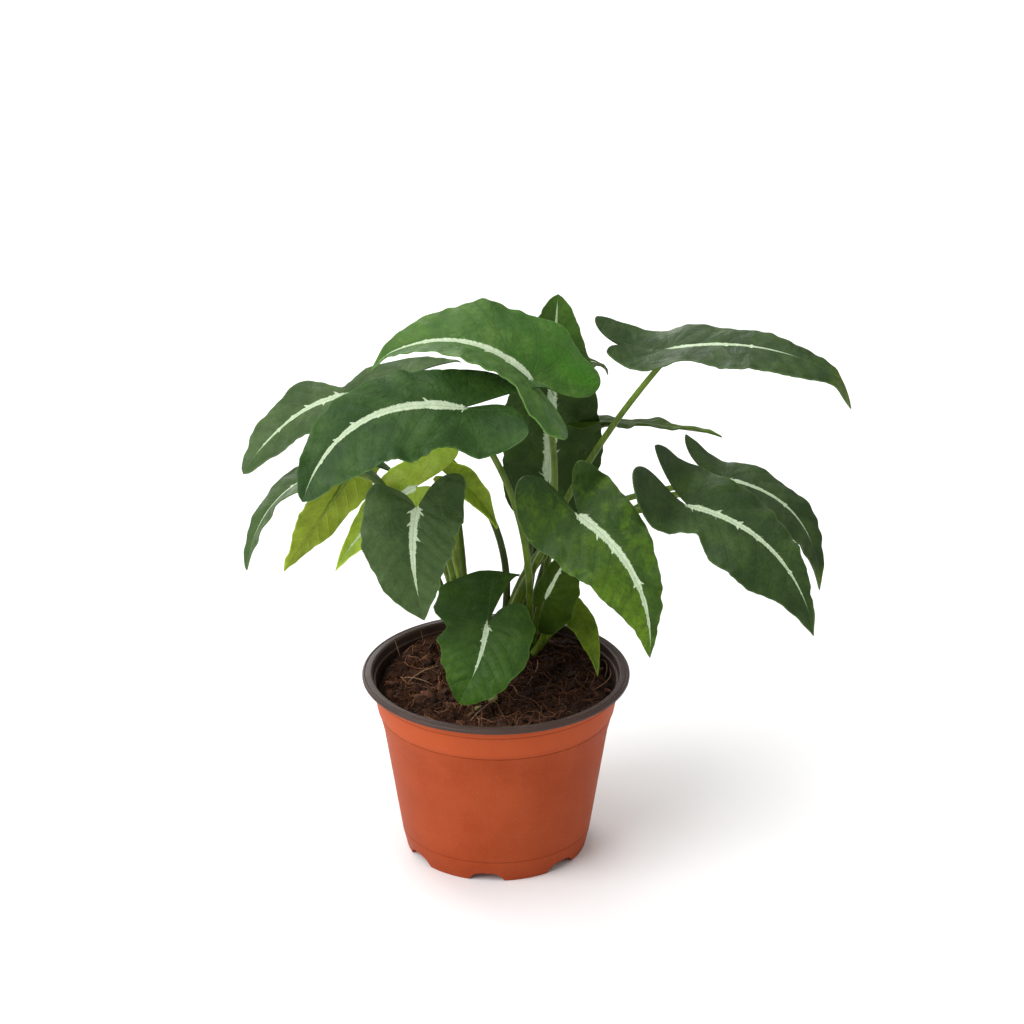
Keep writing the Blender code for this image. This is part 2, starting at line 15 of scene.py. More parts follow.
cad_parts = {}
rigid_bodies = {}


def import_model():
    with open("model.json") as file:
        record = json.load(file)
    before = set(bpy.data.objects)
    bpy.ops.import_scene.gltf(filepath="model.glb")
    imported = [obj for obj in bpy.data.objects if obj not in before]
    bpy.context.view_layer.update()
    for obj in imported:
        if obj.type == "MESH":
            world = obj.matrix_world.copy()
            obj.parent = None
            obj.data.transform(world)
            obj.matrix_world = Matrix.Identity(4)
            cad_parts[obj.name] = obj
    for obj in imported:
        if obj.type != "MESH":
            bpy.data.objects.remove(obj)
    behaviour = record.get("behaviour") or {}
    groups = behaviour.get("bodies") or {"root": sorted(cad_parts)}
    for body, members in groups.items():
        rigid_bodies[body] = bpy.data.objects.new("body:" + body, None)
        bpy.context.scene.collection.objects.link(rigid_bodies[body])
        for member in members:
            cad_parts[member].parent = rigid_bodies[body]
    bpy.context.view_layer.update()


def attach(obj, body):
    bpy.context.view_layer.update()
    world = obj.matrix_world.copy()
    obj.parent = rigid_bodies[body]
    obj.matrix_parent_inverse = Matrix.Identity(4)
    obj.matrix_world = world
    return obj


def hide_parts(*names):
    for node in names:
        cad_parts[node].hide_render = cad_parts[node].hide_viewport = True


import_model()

MM = 0.001

# Pot: a thermoformed nursery pot with a folded-out rim
POT_HEIGHT = 0.108
RIM_RADIUS = 0.076
RIM_INNER_RADIUS = 0.070
RIM_DEPTH = 0.0026
RIM_ROUNDING = 0.0009
RIM_GROOVE = ((0.0024, 0.0001), (0.0018, 0.0006), (0.0012, 0.0002), (0.0005, 0.0004),
              (0.0, 0.0011), (0.0, RIM_DEPTH))
WALL = 0.0012
COLLAR_TOP_RADIUS = 0.0712
COLLAR_MID_HEIGHT = 0.0975
COLLAR_MID_RADIUS = 0.0696
COLLAR_FOOT_HEIGHT = 0.0862
COLLAR_FOOT_RADIUS = 0.0673
COLLAR_STEP = 0.0005
LEDGE_DEPTH = 0.0048
LEDGE_WIDTH = 0.0010
WAIST_HEIGHT = 0.0745
WAIST_RADIUS = 0.0640
HEEL_HEIGHT = 0.0105
HEEL_RADIUS = 0.0541
FOOT_RADIUS = 0.0516
FOOT_WIDTH = 0.0022
FLOOR_UNDERSIDE = 0.0060
PAD_RADIUS = 0.0130
PAD_SLOPE = 0.0015
NOTCH_COUNT = 7
NOTCH_WIDTH = 0.0290
NOTCH_TOP_SHARE = 0.45
NOTCH_HEIGHT = 0.0054
NOTCH_LENGTH = 0.0120
NOTCH_FIRST_ANGLE = math.radians(-96)
DRAIN_RADIUS = 0.0045
DRAIN_CIRCLE = 0.0400
DRAIN_SIDES = 12
OUTER_WALL = [
    (COLLAR_TOP_RADIUS, POT_HEIGHT - RIM_DEPTH), (COLLAR_MID_RADIUS, COLLAR_MID_HEIGHT),
    (COLLAR_FOOT_RADIUS, COLLAR_FOOT_HEIGHT),
    (COLLAR_FOOT_RADIUS - COLLAR_STEP, COLLAR_FOOT_HEIGHT - COLLAR_STEP),
    (WAIST_RADIUS, WAIST_HEIGHT), (HEEL_RADIUS, HEEL_HEIGHT), (FOOT_RADIUS, 0.0),
]

# Soil: coir and bark, filled to just under the rim
GAP = 0.0003
SOIL_EDGE = COLLAR_MID_RADIUS - WALL
SOIL_FILL = 0.8
SOIL_SKIRT = 0.02
SOIL_LEAN = 0.004
SOIL_TOP = 0.0945
SOIL_CROWN = 0.0030
SOIL_LUMP = 0.0018
SOIL_LUMPS_PER_METRE = 85.0

# Shoots: the places of their short stems in the soil, in millimetres
STEM_RADIUS = 0.0056
STEM_NECK_RADIUS = 0.0044
STEM_FOOT = 0.0620
STEM_NECK = 0.0980
STEM_TOP = 0.1030
STEM_SIDES = 24
FRONT = "shoot_front"
LEFT = "shoot_left"
CENTRE = "shoot_centre"
RIGHT = "shoot_right"
BACK = "shoot_back"
SHOOTS = {FRONT: (-6, -10), LEFT: (-16, 22), CENTRE: (2, 36), RIGHT: (17, 35), BACK: (13, 52)}
FOOT_CIRCLE = 0.0022
FOOT_HEIGHT = 0.0985

# Leaves: the blade's surface, and the stalk with the rib under the blade
BLADE = 0.0008
BLADE_ROWS = 8
WAVE = 1.5 * MM
WAVES = 2.3
WAVE_SHIFT = 2.0
RIPPLE = 0.035
RIPPLES = 2.6
RIPPLE_SHIFT = 1.3
WAIST_PLACE = 0.10
WAIST_LENGTH = 0.16
TANGENT_STEP = 0.01
STALK_STEPS = 6
STALK_RADIUS = 1.6 * MM
ELBOW_LEG = 0.0050
ELBOW_CLEAR = 1.3
RIB_ROWS = 4
RIB_TIP_RADIUS = 0.0006
RIB_SINK = 0.0004
SHEATH = 1.45

# A leaf's places and lengths are in millimetres, its angles in degrees, its pairs left and right.
# bow is a point that the stalk passes halfway, face the way the upper side looks, and width that
# of each half. lobe is the length of a basal lobe as a share of the midrib. lobe_tip and sinus are
# where it ends and how its inner edge leaves the midrib, as shares of the width. widest is where a
# half is widest, taper how full it stays from there, blunt how round the tip is and waist how far
# the margin is drawn in by the lobe. fold is how steeply a half rises, arch how far it bends down
# again, lift how far its lobe is raised and droop how far the tip hangs. band and broad are the
# silver band's reach and breadth. glow is painted light: a fresh green by the stalk that stands for
# light shining through the blade from behind. tip_glow is where the fresh green of the tip starts
# and how strong it is on the left and right.
Leaf = namedtuple(
    "Leaf",
    "shoot bow junction middle tip face width tone lobe lobe_tip sinus widest taper blunt waist "
    "fold arch lift stalk glow droop band broad tip_glow",
    defaults=((0.34, 0.34), (0.62, 0.62), (0.2, 0.2), (0.32, 0.32), (1.7, 1.7), 0, (0, 0), (12, 12),
              (25, 25), (0, 0), "pale", (0.0, 0.0), 1.5, 0.9, 1.0, (1, 0, 0)),
)
LEAVES = {
    "crown_left": Leaf(RIGHT, (33, 17, 218), (19, 2, 285), (-22, 6, 305), (-69, 12, 290), (0.1, -0.3, 1),
        (38, 45), "soft", lobe=(0.36, 0.37), lobe_tip=(0.5, 0.55), widest=(0.24, 0.22), taper=(1.1, 1.4),
        blunt=0.1, waist=(0.35, 0), fold=(20, 20), arch=(12, 26), lift=(-3, 3), glow=(0.0, 1.0),
        droop=5.0, band=0.97),
    "broad_left": Leaf(RIGHT, (14, -2, 199), (-18, -25, 278), (-71, -47, 279), (-103, -67, 242),
        (0, -0.75, 1), (34, 25), "deep", lobe=(0.30, 0.44), lobe_tip=(0.45, 0.25), sinus=(-0.3, 0.8),
        widest=(0.38, 0.26), taper=(1.8, 1.7), blunt=0.4, waist=(0.15, 0), lift=(9, 15), band=0.97),
    "far_left": Leaf(CENTRE, (-5, 36, 192), (-78, 34, 262), (-110, 26, 254), (-141, 12, 225),
        (-0.2, -0.5, 1), (19, 26), "grey", lobe=(0.34, 0.75), lobe_tip=(0.5, 0.5), sinus=(0.2, 0.9),
        widest=(0.3, 0.3), taper=(2.2, 1.2), blunt=0.45, waist=(0, 0.7), lift=(0, 12), stalk="dark"),
    "low_left": Leaf(LEFT, (-43, 18, 181), (-77, 10, 230), (-119, 2, 215), (-139, -12, 177),
        (-0.3, -0.1, 1), (15, 15), "grey", lobe=(0.22, 0.22), lobe_tip=(0.8, 0.8), blunt=0.3,
        fold=(25, 15), lift=(-25, -12), broad=0.8),
    "hanging_left": Leaf(LEFT, (-37, 28, 179), (-82, 34, 217), (-101, 34, 186), (-121, 26, 159),
        (-0.4, 0.9, 0.3), (17, 19), "bright", taper=(1.9, 2.1), stalk="young", band=0.0),
    "young_left": Leaf(LEFT, (-23, 18, 168), (-45, 6, 218), (-66, 6, 201), (-90, -2, 172),
        (-0.2, -0.9, 0.6), (16, 17), "lime", lobe=(0.2, 0.5), stalk="young", broad=1.4),
    "heart_left": Leaf(LEFT, (-27, -2, 180), (-43, -30, 221), (-45, -42, 195), (-39, -48, 163),
        (0, -1, 0.35), (26, 29), "grey", lobe=(0.38, 0.14), lobe_tip=(0.7, 0.85), sinus=(0.3, 0.3),
        widest=(0.26, 0.26), taper=(2.0, 2.0), blunt=0.15, band=0.82),
    "heart_front": Leaf(FRONT, (2, -10, 119), (-5, -22, 146), (-10, -38, 130), (-20, -44, 110),
        (0, -0.9, 0.5), (27, 31), "green", lobe=(0.34, 0.82), lobe_tip=(0.6, -0.5), sinus=(0.26, -0.35),
        taper=(1.8, 1.8), blunt=0.35, waist=(0, 0.2), band=0.68, broad=0.6, tip_glow=(0.25, 0.9, 0.9)),
    "heart_right": Leaf(CENTRE, (24, 12, 172), (46, -22, 213), (76, -44, 186), (85, -56, 144),
        (0.2, -0.9, 0.6), (28, 30), "mottled", lobe=(0.15, 0.34), lobe_tip=(0.65, 0.35),
        sinus=(0.36, -0.2), widest=(0.13, 0.24), taper=(1.15, 2.2), lift=(20, 24), band=0.95,
        tip_glow=(0.0, 0.2, 1.3)),
    "inner_right": Leaf(RIGHT, (28, 16, 124), (28, 4, 151), (37, 2, 171), (46, 2, 187), (-0.2, -1, 0.3),
        (8, 18), "olive", lobe=(0.2, 0.52), lobe_tip=(0.5, 0.3)),
    "hanging_right": Leaf(RIGHT, (34, 28, 122), (41, 30, 134), (52, 22, 121), (58, 6, 102),
        (0.2, -1, 0.4), (8, 8), "fresh", lobe=(0.15, 0.15), band=0.0),
    "upright": Leaf(BACK, (19, 44, 161), (30, 52, 203), (32, 60, 255), (35, 66, 312), (0, -1, 0.1),
        (28, 30), "shaded", lobe=(0.18, 0.3), widest=(0.36, 0.36), blunt=0.3, stalk="dark", band=0.97,
        broad=1.5, tip_glow=(0.4, 0.8, 0.8)),
    "crown_right": Leaf(CENTRE, (40, 31, 200), (97, 16, 297), (149, 4, 301), (195, -6, 284),
        (-0.1, -0.25, 1), (20, 25), "dusky", lobe=(0.38, 0.30), lobe_tip=(0.5, 0.6), sinus=(-0.3, 0.05),
        widest=(0.28, 0.3), taper=(1.0, 2.2), blunt=0.3, waist=(0, 0.35), lift=(20, 14), droop=14.0,
        band=0.68, broad=0.7, tip_glow=(0.85, 1.0, 1.0)),
    "edge_right": Leaf(BACK, (37, 50, 182), (59, 62, 235), (88, 66, 232), (129, 60, 228), (0, 0.26, 1),
        (18, 18), "olive", blunt=0.3, stalk="dark", broad=0.3, tip_glow=(0.5, 1.0, 1.0)),
    "broad_right": Leaf(CENTRE, (34, 12, 181), (107, -6, 212), (151, -28, 196), (175, -50, 157),
        (0.3, -0.7, 1), (28, 34), "dusky", lobe=(0.23, 0.25), lobe_tip=(0.6, 0.3), sinus=(0.46, -0.2),
        widest=(0.19, 0.4), taper=(1.2, 2.4), waist=(0, 0.4), lift=(24, 32), droop=4.0, broad=0.7),
    "far_right": Leaf(CENTRE, (37, 33, 179), (131, 34, 211), (168, 22, 195), (183, 8, 159),
        (0.4, -0.4, 1), (17, 22), "dusky", lobe_tip=(0.8, 0.7), sinus=(0, 0.2), taper=(2.2, 2.0),
        lift=(14, 10), droop=5.0, band=0.75, broad=0.8, tip_glow=(0.88, 0.9, 0.9)),
    "small_back": Leaf(BACK, (25, 60, 175), (37, 90, 254), (54, 100, 257), (65, 104, 249), (0.1, 0.1, 1),
        (14, 14), "olive", stalk="dark"),
    "young_centre": Leaf(LEFT, (-22, 26, 160), (-23, 26, 214), (-11, 26, 204), (1, 24, 186),
        (0, -0.7, 0.7), (10, 10), "lime", fold=(40, 40), stalk="young", band=0.0),
    "back_high": Leaf(BACK, (21, 78, 190), (12, 98, 270), (-5, 126, 272), (-24, 152, 250), (0.2, 0.3, 1),
        (25, 25), "deep", lobe=(0.3, 0.3)),
    "back_left": Leaf(LEFT, (-23, 56, 185), (-38, 90, 232), (-62, 106, 226), (-86, 116, 200),
        (0, 0.5, 1), (22, 20), "green", lobe=(0.3, 0.3)),
    "back_right": Leaf(BACK, (66, 54, 174), (120, 66, 190), (140, 84, 182), (152, 102, 154),
        (0.3, 0.5, 1), (22, 22), "deep", lobe=(0.3, 0.3)),
    "back_low": Leaf(LEFT, (-28, 48, 145), (-40, 78, 155), (-54, 100, 146), (-62, 112, 118),
        (-0.3, 0.8, 0.7), (20, 20), "green", lobe=(0.3, 0.3)),
    "back_drooping": Leaf(BACK, (34, 62, 144), (46, 76, 150), (60, 96, 142), (66, 108, 112),
        (0.3, 0.8, 0.7), (20, 20), "deep", lobe=(0.3, 0.3)),
}

# Fine blades and stalks
FINE_ROWS = 64
FINE_LOBE = 14
FINE_COLUMNS = 14
FINE_STALK = 26
FINE_ELBOW = 8
FINE_RIB = 16
RIB_END = 0.92
RIB_LAST_RADIUS = 0.00025
VEIN_LEAN = 0.75
VEIN_CURL = 0.35
VEIN_TURN = math.radians(32)
VEIN_GAP_LEAST = 8.0
VEIN_COUNT = 7.5
NET_SCALE = 0.34
BROAD_HALF = 25
PUCKER = 0.45
BAND_SHARE = 0.095
BAND_MOST = 3.0
DROOP_START = 0.86
MARGIN_RAGGED = 1.3
MARGIN_WAVY = 2.6
MARGIN_GRAIN = 0.11
SAME_PLACE = 0.00002
BLADE_FIELDS = ("along", "offset", "vein", "vein_gap", "band", "edge", "glow", "seed")

# Pot and soil
POT_STEPS = 160
POT_ROUNDING = 0.0007
# Each ring that is drawn in: its height, depth and width
GROOVES = ((0.0998, 0.0002, 0.0006), (0.0850, 0.0003, 0.0005), (0.0131, 0.0002, 0.0006))
GROOVE_SHADE = 0.0005
NOTCH_ROUNDING = 0.0040
SOIL_MOUND = 0.0078
MOUND_START = -0.005
MOUND_LENGTH = 0.055
SINK_START = 0.9
SINK_SLOPE = 0.02
SOIL_RINGS = 70
SOIL_SECTORS = 220
SOIL_REACH = 0.0655
CRUMBS = ((150.0, 0.0028), (430.0, 0.0021), (1300.0, 0.0008))
CRUMB_COUNT = 1500
CRUMB_FACES = 20
RED_EVERY = 23
STRAND_STEP = 0.0025
LOOSE_STRANDS = (
    (((-55, 34, 98), (-57, 34, 105), (-59, 34, 112)), 0.22),
    (((-43, 50, 98), (-43, 50, 104), (-44, 50, 109)), 0.18),
    (((-50, 4, 98), (-43, 9, 102), (-33, 15, 103)), 0.30),
    (((-54, 10, 98), (-45, 3, 101), (-36, -1, 99)), 0.24),
    (((-14, -46, 99), (-7, -36, 102), (0, -26, 102)), 0.30),
    (((20, 30, 101), (24, 17, 103), (18, 0, 99)), 0.30),
    (((8, -5, 100), (10, -9, 102), (12, -15, 100)), 0.26),
    (((65, 10, 104), (64, 2, 101), (55, -6, 98)), 0.24),
    (((56, 30, 99), (63, 20, 103), (62, 6, 100)), 0.20),
)
LOOSE_CHIPS = (
    ("bark_chip", ((0.10, 0.035, 0.020), (0.18, 0.07, 0.038), (0.24, 0.10, 0.06)),
     ((59, 17, 1.5, (3.4, 2.2, 1.4)), (63, -2, 1.2, (3.8, 1.1, 0.9)),
      (-60, -6, 1.0, (2.6, 1.6, 1.0)))),
    ("pebble_tan", ((0.10, 0.055, 0.022), (0.17, 0.10, 0.045), (0.22, 0.14, 0.07)),
     ((-13, -36, 1.2, (3.4, 2.6, 2.2)),)),
    ("old_stub", ((0.30, 0.32, 0.10), (0.42, 0.44, 0.18), (0.5, 0.5, 0.26)),
     ((-10, -28, 1.5, (2.8, 1.6, 1.4)), (-2, -21, 2.5, (2.0, 1.9, 3.4)),
      (-3, -43, 1.0, (1.5, 1.1, 0.9)))),
)

# Camera, light and floor
CAMERA_TARGET = (0.0091, 0.0, 0.2057)
CAMERA_DISTANCE = 1.9
CAMERA_ELEVATION = 23.5
CAMERA_LENS = 120.0
CAMERA_NEAR = 0.05
CAMERA_FAR = 50.0
FLOOR_PALE = (0.90, 0.90, 0.90)
FLOOR_PALER = (0.93, 0.93, 0.93)
WORLD_COLOUR = (1.0, 1.0, 1.0)
WORLD_STRENGTH = 0.52
LIGHTS = (
    ("key", (-1.8, -1.3, 1.9), 2.4, 70.0, (0.0, 0.0, 0.18)),
    ("top", (0.0, 0.3, 2.4), 2.0, 22.0, (0.0, 0.0, 0.2)),
    ("back", (-0.9, 2.3, 1.4), 2.4, 42.0, (0.0, 0.4, 0.1)),
)

# The colours of a blade: its dark and light green, underside, fresh green and blotches
Tone = namedtuple("Tone", "dark light fresh under mottle blotch gloss",
                  defaults=(0.0, (0.10, 0.18, 0.014), 0.19))
LEAF_TONES = {
    "deep": Tone((0.018, 0.052, 0.008), (0.038, 0.09, 0.015), (0.035, 0.11, 0.01), (0.075, 0.125, 0.03)),
    # grey is a paler, greyer green that is partly painted sheen, as seen on the leaves at the left.
    "grey": Tone((0.034, 0.07, 0.016), (0.064, 0.112, 0.032), (0.04, 0.12, 0.01), (0.075, 0.125, 0.03)),
    "dusky": Tone((0.02, 0.044, 0.009), (0.04, 0.078, 0.016), (0.13, 0.2, 0.018), (0.13, 0.2, 0.024)),
    "soft": Tone((0.034, 0.098, 0.012), (0.078, 0.16, 0.026), (0.045, 0.165, 0.01), (0.08, 0.14, 0.035)),
    "green": Tone((0.02, 0.056, 0.006), (0.04, 0.09, 0.01), (0.05, 0.13, 0.006),
        (0.075, 0.14, 0.025), 0.15, (0.055, 0.11, 0.008)),
    "mottled": Tone((0.02, 0.052, 0.006), (0.038, 0.082, 0.01), (0.11, 0.21, 0.008),
        (0.085, 0.14, 0.02), 0.8, (0.07, 0.14, 0.007)),
    "shaded": Tone((0.022, 0.05, 0.007), (0.042, 0.082, 0.012), (0.06, 0.15, 0.012),
        (0.045, 0.075, 0.018), 0.1, (0.055, 0.095, 0.008)),
    "olive": Tone((0.02, 0.042, 0.003), (0.034, 0.066, 0.005), (0.1, 0.18, 0.014),
        (0.11, 0.15, 0.02), 0.3, (0.05, 0.08, 0.005), 0.05),
    "fresh": Tone((0.09, 0.15, 0.005), (0.155, 0.24, 0.008), (0.14, 0.23, 0.012),
        (0.185, 0.255, 0.02), 0.4, (0.17, 0.235, 0.014)),
    "bright": Tone((0.15, 0.23, 0.014), (0.25, 0.35, 0.026), (0.24, 0.34, 0.02),
        (0.38, 0.51, 0.045), 0.5, (0.29, 0.34, 0.03)),
    "lime": Tone((0.19, 0.29, 0.014), (0.3, 0.42, 0.034), (0.24, 0.34, 0.02),
        (0.21, 0.3, 0.025), 0.4, (0.34, 0.4, 0.04)),
}
BAND_PALE = (0.52, 0.62, 0.43)
BAND_GREEN = (0.27, 0.38, 0.2)
BAND_LINE = (0.23, 0.34, 0.15)
STALK_TONES = {
    "pale": ((0.068, 0.118, 0.009), (0.122, 0.184, 0.018)),
    "young": ((0.15, 0.225, 0.018), (0.24, 0.33, 0.04)),
    "dark": ((0.038, 0.065, 0.012), (0.065, 0.098, 0.02)),
}
ROOT = "root"


def arc_through(first, middle, last, share):
    """A point of the smooth arc that passes middle halfway from first to last."""
    bend = middle * 2 - (first + last) / 2
    return first * (1 - share)**2 + bend * (2 * share * (1 - share)) + last * share**2


def midrib(spec):
    return [Vector(point) * MM for point in (spec.junction, spec.middle, spec.tip)]


def midrib_length(spec):
    junction, middle, tip = midrib(spec)
    return (middle - junction).length + (tip - middle).length


def rib_frame(spec, share):
    """Place on the midrib and the ways ahead, to the left and up from the blade there."""
    points = midrib(spec)
    near = max(0.0, share - TANGENT_STEP)
    far = min(1.0, share + TANGENT_STEP)
    ahead = (arc_through(*points, far) - arc_through(*points, near)).normalized()
    up = Vector(spec.face)
    up = (up - ahead * up.dot(ahead)).normalized()
    return arc_through(*points, share), ahead, up.cross(ahead), up


def margin(spec, share, hand):
    """Where the uneven margin lies, as a share of the half's width: round, then tapering."""
    lobe_tip = spec.lobe_tip[hand]
    widest = spec.widest[hand]
    along = (share + spec.lobe[hand]) / (1 + spec.lobe[hand])
    if along < widest:
        size = lobe_tip + (1 - lobe_tip) * math.sqrt(max(0.0, 1 - (1 - along / widest)**2))
    else:
        narrowing = max(0.0, 1 - ((along - widest) / (1 - widest))**spec.taper[hand])
        size = narrowing**(1 - spec.blunt)
    ripple = math.sin(math.tau * RIPPLES * share + RIPPLE_SHIFT * hand + spec.width[0])
    drawn_in = spec.waist[hand] * math.exp(-((share - WAIST_PLACE) / WAIST_LENGTH)**2)
    return size * (1 + RIPPLE * ripple - drawn_in)


def sinus_edge(spec, share, hand):
    """Where a basal lobe's inner edge lies, as a share of the half's width."""
    if share >= 0:
        return 0.0
    back = min(1.0, -share / spec.lobe[hand])
    late = 1 - math.sqrt(1 - back**4)
    return spec.sinus[hand] * back + (spec.lobe_tip[hand] - spec.sinus[hand]) * late


def blade_point(spec, share, across, hand):
    """A point of the blade: share runs along the midrib, across from inner edge to margin."""
    side = 1 if hand == 0 else -1
    width = spec.width[hand] * MM
    inner = sinus_edge(spec, share, hand) * width
    outer = margin(spec, share, hand) * width
    offset = inner + (outer - inner) * across
    place, ahead, left, up = rib_frame(spec, max(0.0, share))
    fold = math.radians(spec.fold[hand])
    bend = math.radians(spec.arch[hand]) / width
    sideways = (math.sin(fold) - math.sin(fold - bend * offset)) / bend
    rise = (math.cos(fold - bend * offset) - math.cos(fold)) / bend
    behind = min(0.0, share)
    rise += spec.lift[hand] * MM * (behind / spec.lobe[hand])**2
    rise += WAVE * (offset / width)**2 * math.sin(math.tau * WAVES * share + WAVE_SHIFT * hand)
    return place + ahead * (behind * midrib_length(spec)) + left * (side * sideways) + up * rise


def rib_radius(share):
    """The solid's taper as far as its rib goes, and on to a fine end."""
    full = RIB_ROWS / BLADE_ROWS
    if share < full:
        return STALK_RADIUS + (RIB_TIP_RADIUS - STALK_RADIUS) * share / full
    rest = (share - full) / (RIB_END - full)
    return RIB_TIP_RADIUS + (RIB_LAST_RADIUS - RIB_TIP_RADIUS) * rest


def rib_point(spec, share):
    place, _, _, up = rib_frame(spec, share)
    return place - up * (rib_radius(share) + RIB_SINK)


def stalk_line(spec):
    shoot = Vector((*SHOOTS[spec.shoot], 0.0)) * MM
    bow = Vector(spec.bow) * MM
    outward = bow - shoot
    outward.z = 0.0
    foot = shoot + outward.normalized() * FOOT_CIRCLE
    foot.z = FOOT_HEIGHT
    end = rib_point(spec, 0.0)
    row_length = (rib_point(spec, 1 / BLADE_ROWS) - end).length
    leg = min(ELBOW_LEG, row_length / 2)
    before = end + (arc_through(foot, bow, end, 1 - 1 / STALK_STEPS) - end).normalized() * leg
    line = [arc_through(foot, bow, end, step / FINE_STALK) for step in range(FINE_STALK)]
    line = [point for point in line if (point - end).length > leg * ELBOW_CLEAR]
    elbow_share = leg / row_length / BLADE_ROWS
    shares = [elbow_share + (RIB_END - elbow_share) * row / FINE_RIB for row in range(FINE_RIB + 1)]
    ribs = [rib_point(spec, share) for share in shares]
    elbow = [before.lerp(end, share).lerp(end.lerp(ribs[0], share), share)
             for share in (step / FINE_ELBOW for step in range(FINE_ELBOW))]
    radii = [STALK_RADIUS * (SHEATH + (1 - SHEATH) * index / FINE_STALK) for index in range(len(line))]
    radii += [STALK_RADIUS] * len(elbow) + [rib_radius(share) for share in shares]
    return line + elbow + ribs, radii


def around(radius, angle):
    return radius * math.cos(angle), radius * math.sin(angle)


def outer_radius(height):
    for (top_radius, top), (low_radius, low) in zip(OUTER_WALL, OUTER_WALL[1:]):
        if height >= low:
            share = (height - low) / (top - low)
            return low_radius + (top_radius - low_radius) * min(1.0, share)
    return FOOT_RADIUS


def grooved_wall():
    result = []
    for (radius, height), (_, low) in zip(OUTER_WALL, OUTER_WALL[1:]):
        result.append((radius, height))
        for ring, depth, width in GROOVES:
            if low + width < ring < height - width:
                result += [(outer_radius(ring + width), ring + width),
                           (outer_radius(ring) - depth, ring),
                           (outer_radius(ring - width), ring - width)]
    return result + [OUTER_WALL[-1]]


def pot_profile():
    """The pot's section: up the inside, over the rim, down the outside and under it to the pad."""
    floor = FLOOR_UNDERSIDE + WALL
    corner = PAD_RADIUS + PAD_SLOPE / 2 - WALL
    ledge = POT_HEIGHT - LEDGE_DEPTH
    wide = RIM_INNER_RADIUS - WALL / 2
    inside = [
        (0.0, WALL), (corner, WALL), (corner + PAD_SLOPE, floor),
        (outer_radius(floor) - WALL, floor), (HEEL_RADIUS - WALL, HEEL_HEIGHT),
        (WAIST_RADIUS - WALL, WAIST_HEIGHT),
        (COLLAR_FOOT_RADIUS - COLLAR_STEP - WALL, COLLAR_FOOT_HEIGHT - COLLAR_STEP),
        (COLLAR_FOOT_RADIUS - WALL, COLLAR_FOOT_HEIGHT), (SOIL_EDGE, COLLAR_MID_HEIGHT),
        (wide - LEDGE_WIDTH, ledge), (wide, ledge), (RIM_INNER_RADIUS, POT_HEIGHT - RIM_ROUNDING),
        (RIM_INNER_RADIUS + RIM_ROUNDING, POT_HEIGHT),
    ]
    rim = [(RIM_RADIUS - inward, POT_HEIGHT - down) for inward, down in RIM_GROOVE]
    foot = FOOT_RADIUS - FOOT_WIDTH
    underside = [(foot, 0.0), (foot, FLOOR_UNDERSIDE), (PAD_RADIUS + PAD_SLOPE, FLOOR_UNDERSIDE),
                 (PAD_RADIUS, 0.0), (0.0, 0.0)]
    return inside + rim + grooved_wall() + underside


def add_object(name, data, group=None):
    item = bpy.data.objects.new(name, data)
    (group or bpy.context.scene.collection).objects.link(item)
    return item


def new_object(name, vertices, faces, edges=()):
    mesh = bpy.data.meshes.new(name)
    mesh.from_pydata([tuple(v) for v in vertices], edges, faces)
    return add_object(name, mesh)


def from_bmesh(name, shape, group=None):
    mesh = bpy.data.meshes.new(name)
    shape.to_mesh(mesh)
    shape.free()
    return add_object(name, mesh, group)


def evaluated_mesh(item):
    depsgraph = bpy.context.evaluated_depsgraph_get()
    depsgraph.update()
    return bpy.data.meshes.new_from_object(item.evaluated_get(depsgraph))


def apply_modifiers(item):
    mesh = evaluated_mesh(item)
    item.modifiers.clear()
    item.data = mesh


def seat(item, slot, degrees, materials, *nodes):
    """Dresses a piece, lets it ride on the plant's body and hides the solids it stands for."""
    for material in materials:
        item.data.materials.append(material)
    item.data.shade_smooth()
    item.data.set_sharp_from_angle(angle=math.radians(degrees))
    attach(item, ROOT)
    if nodes:
        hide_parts(*nodes)


def tinted(colour, factor, more=0.0):
    return tuple(channel * factor + more for channel in colour)


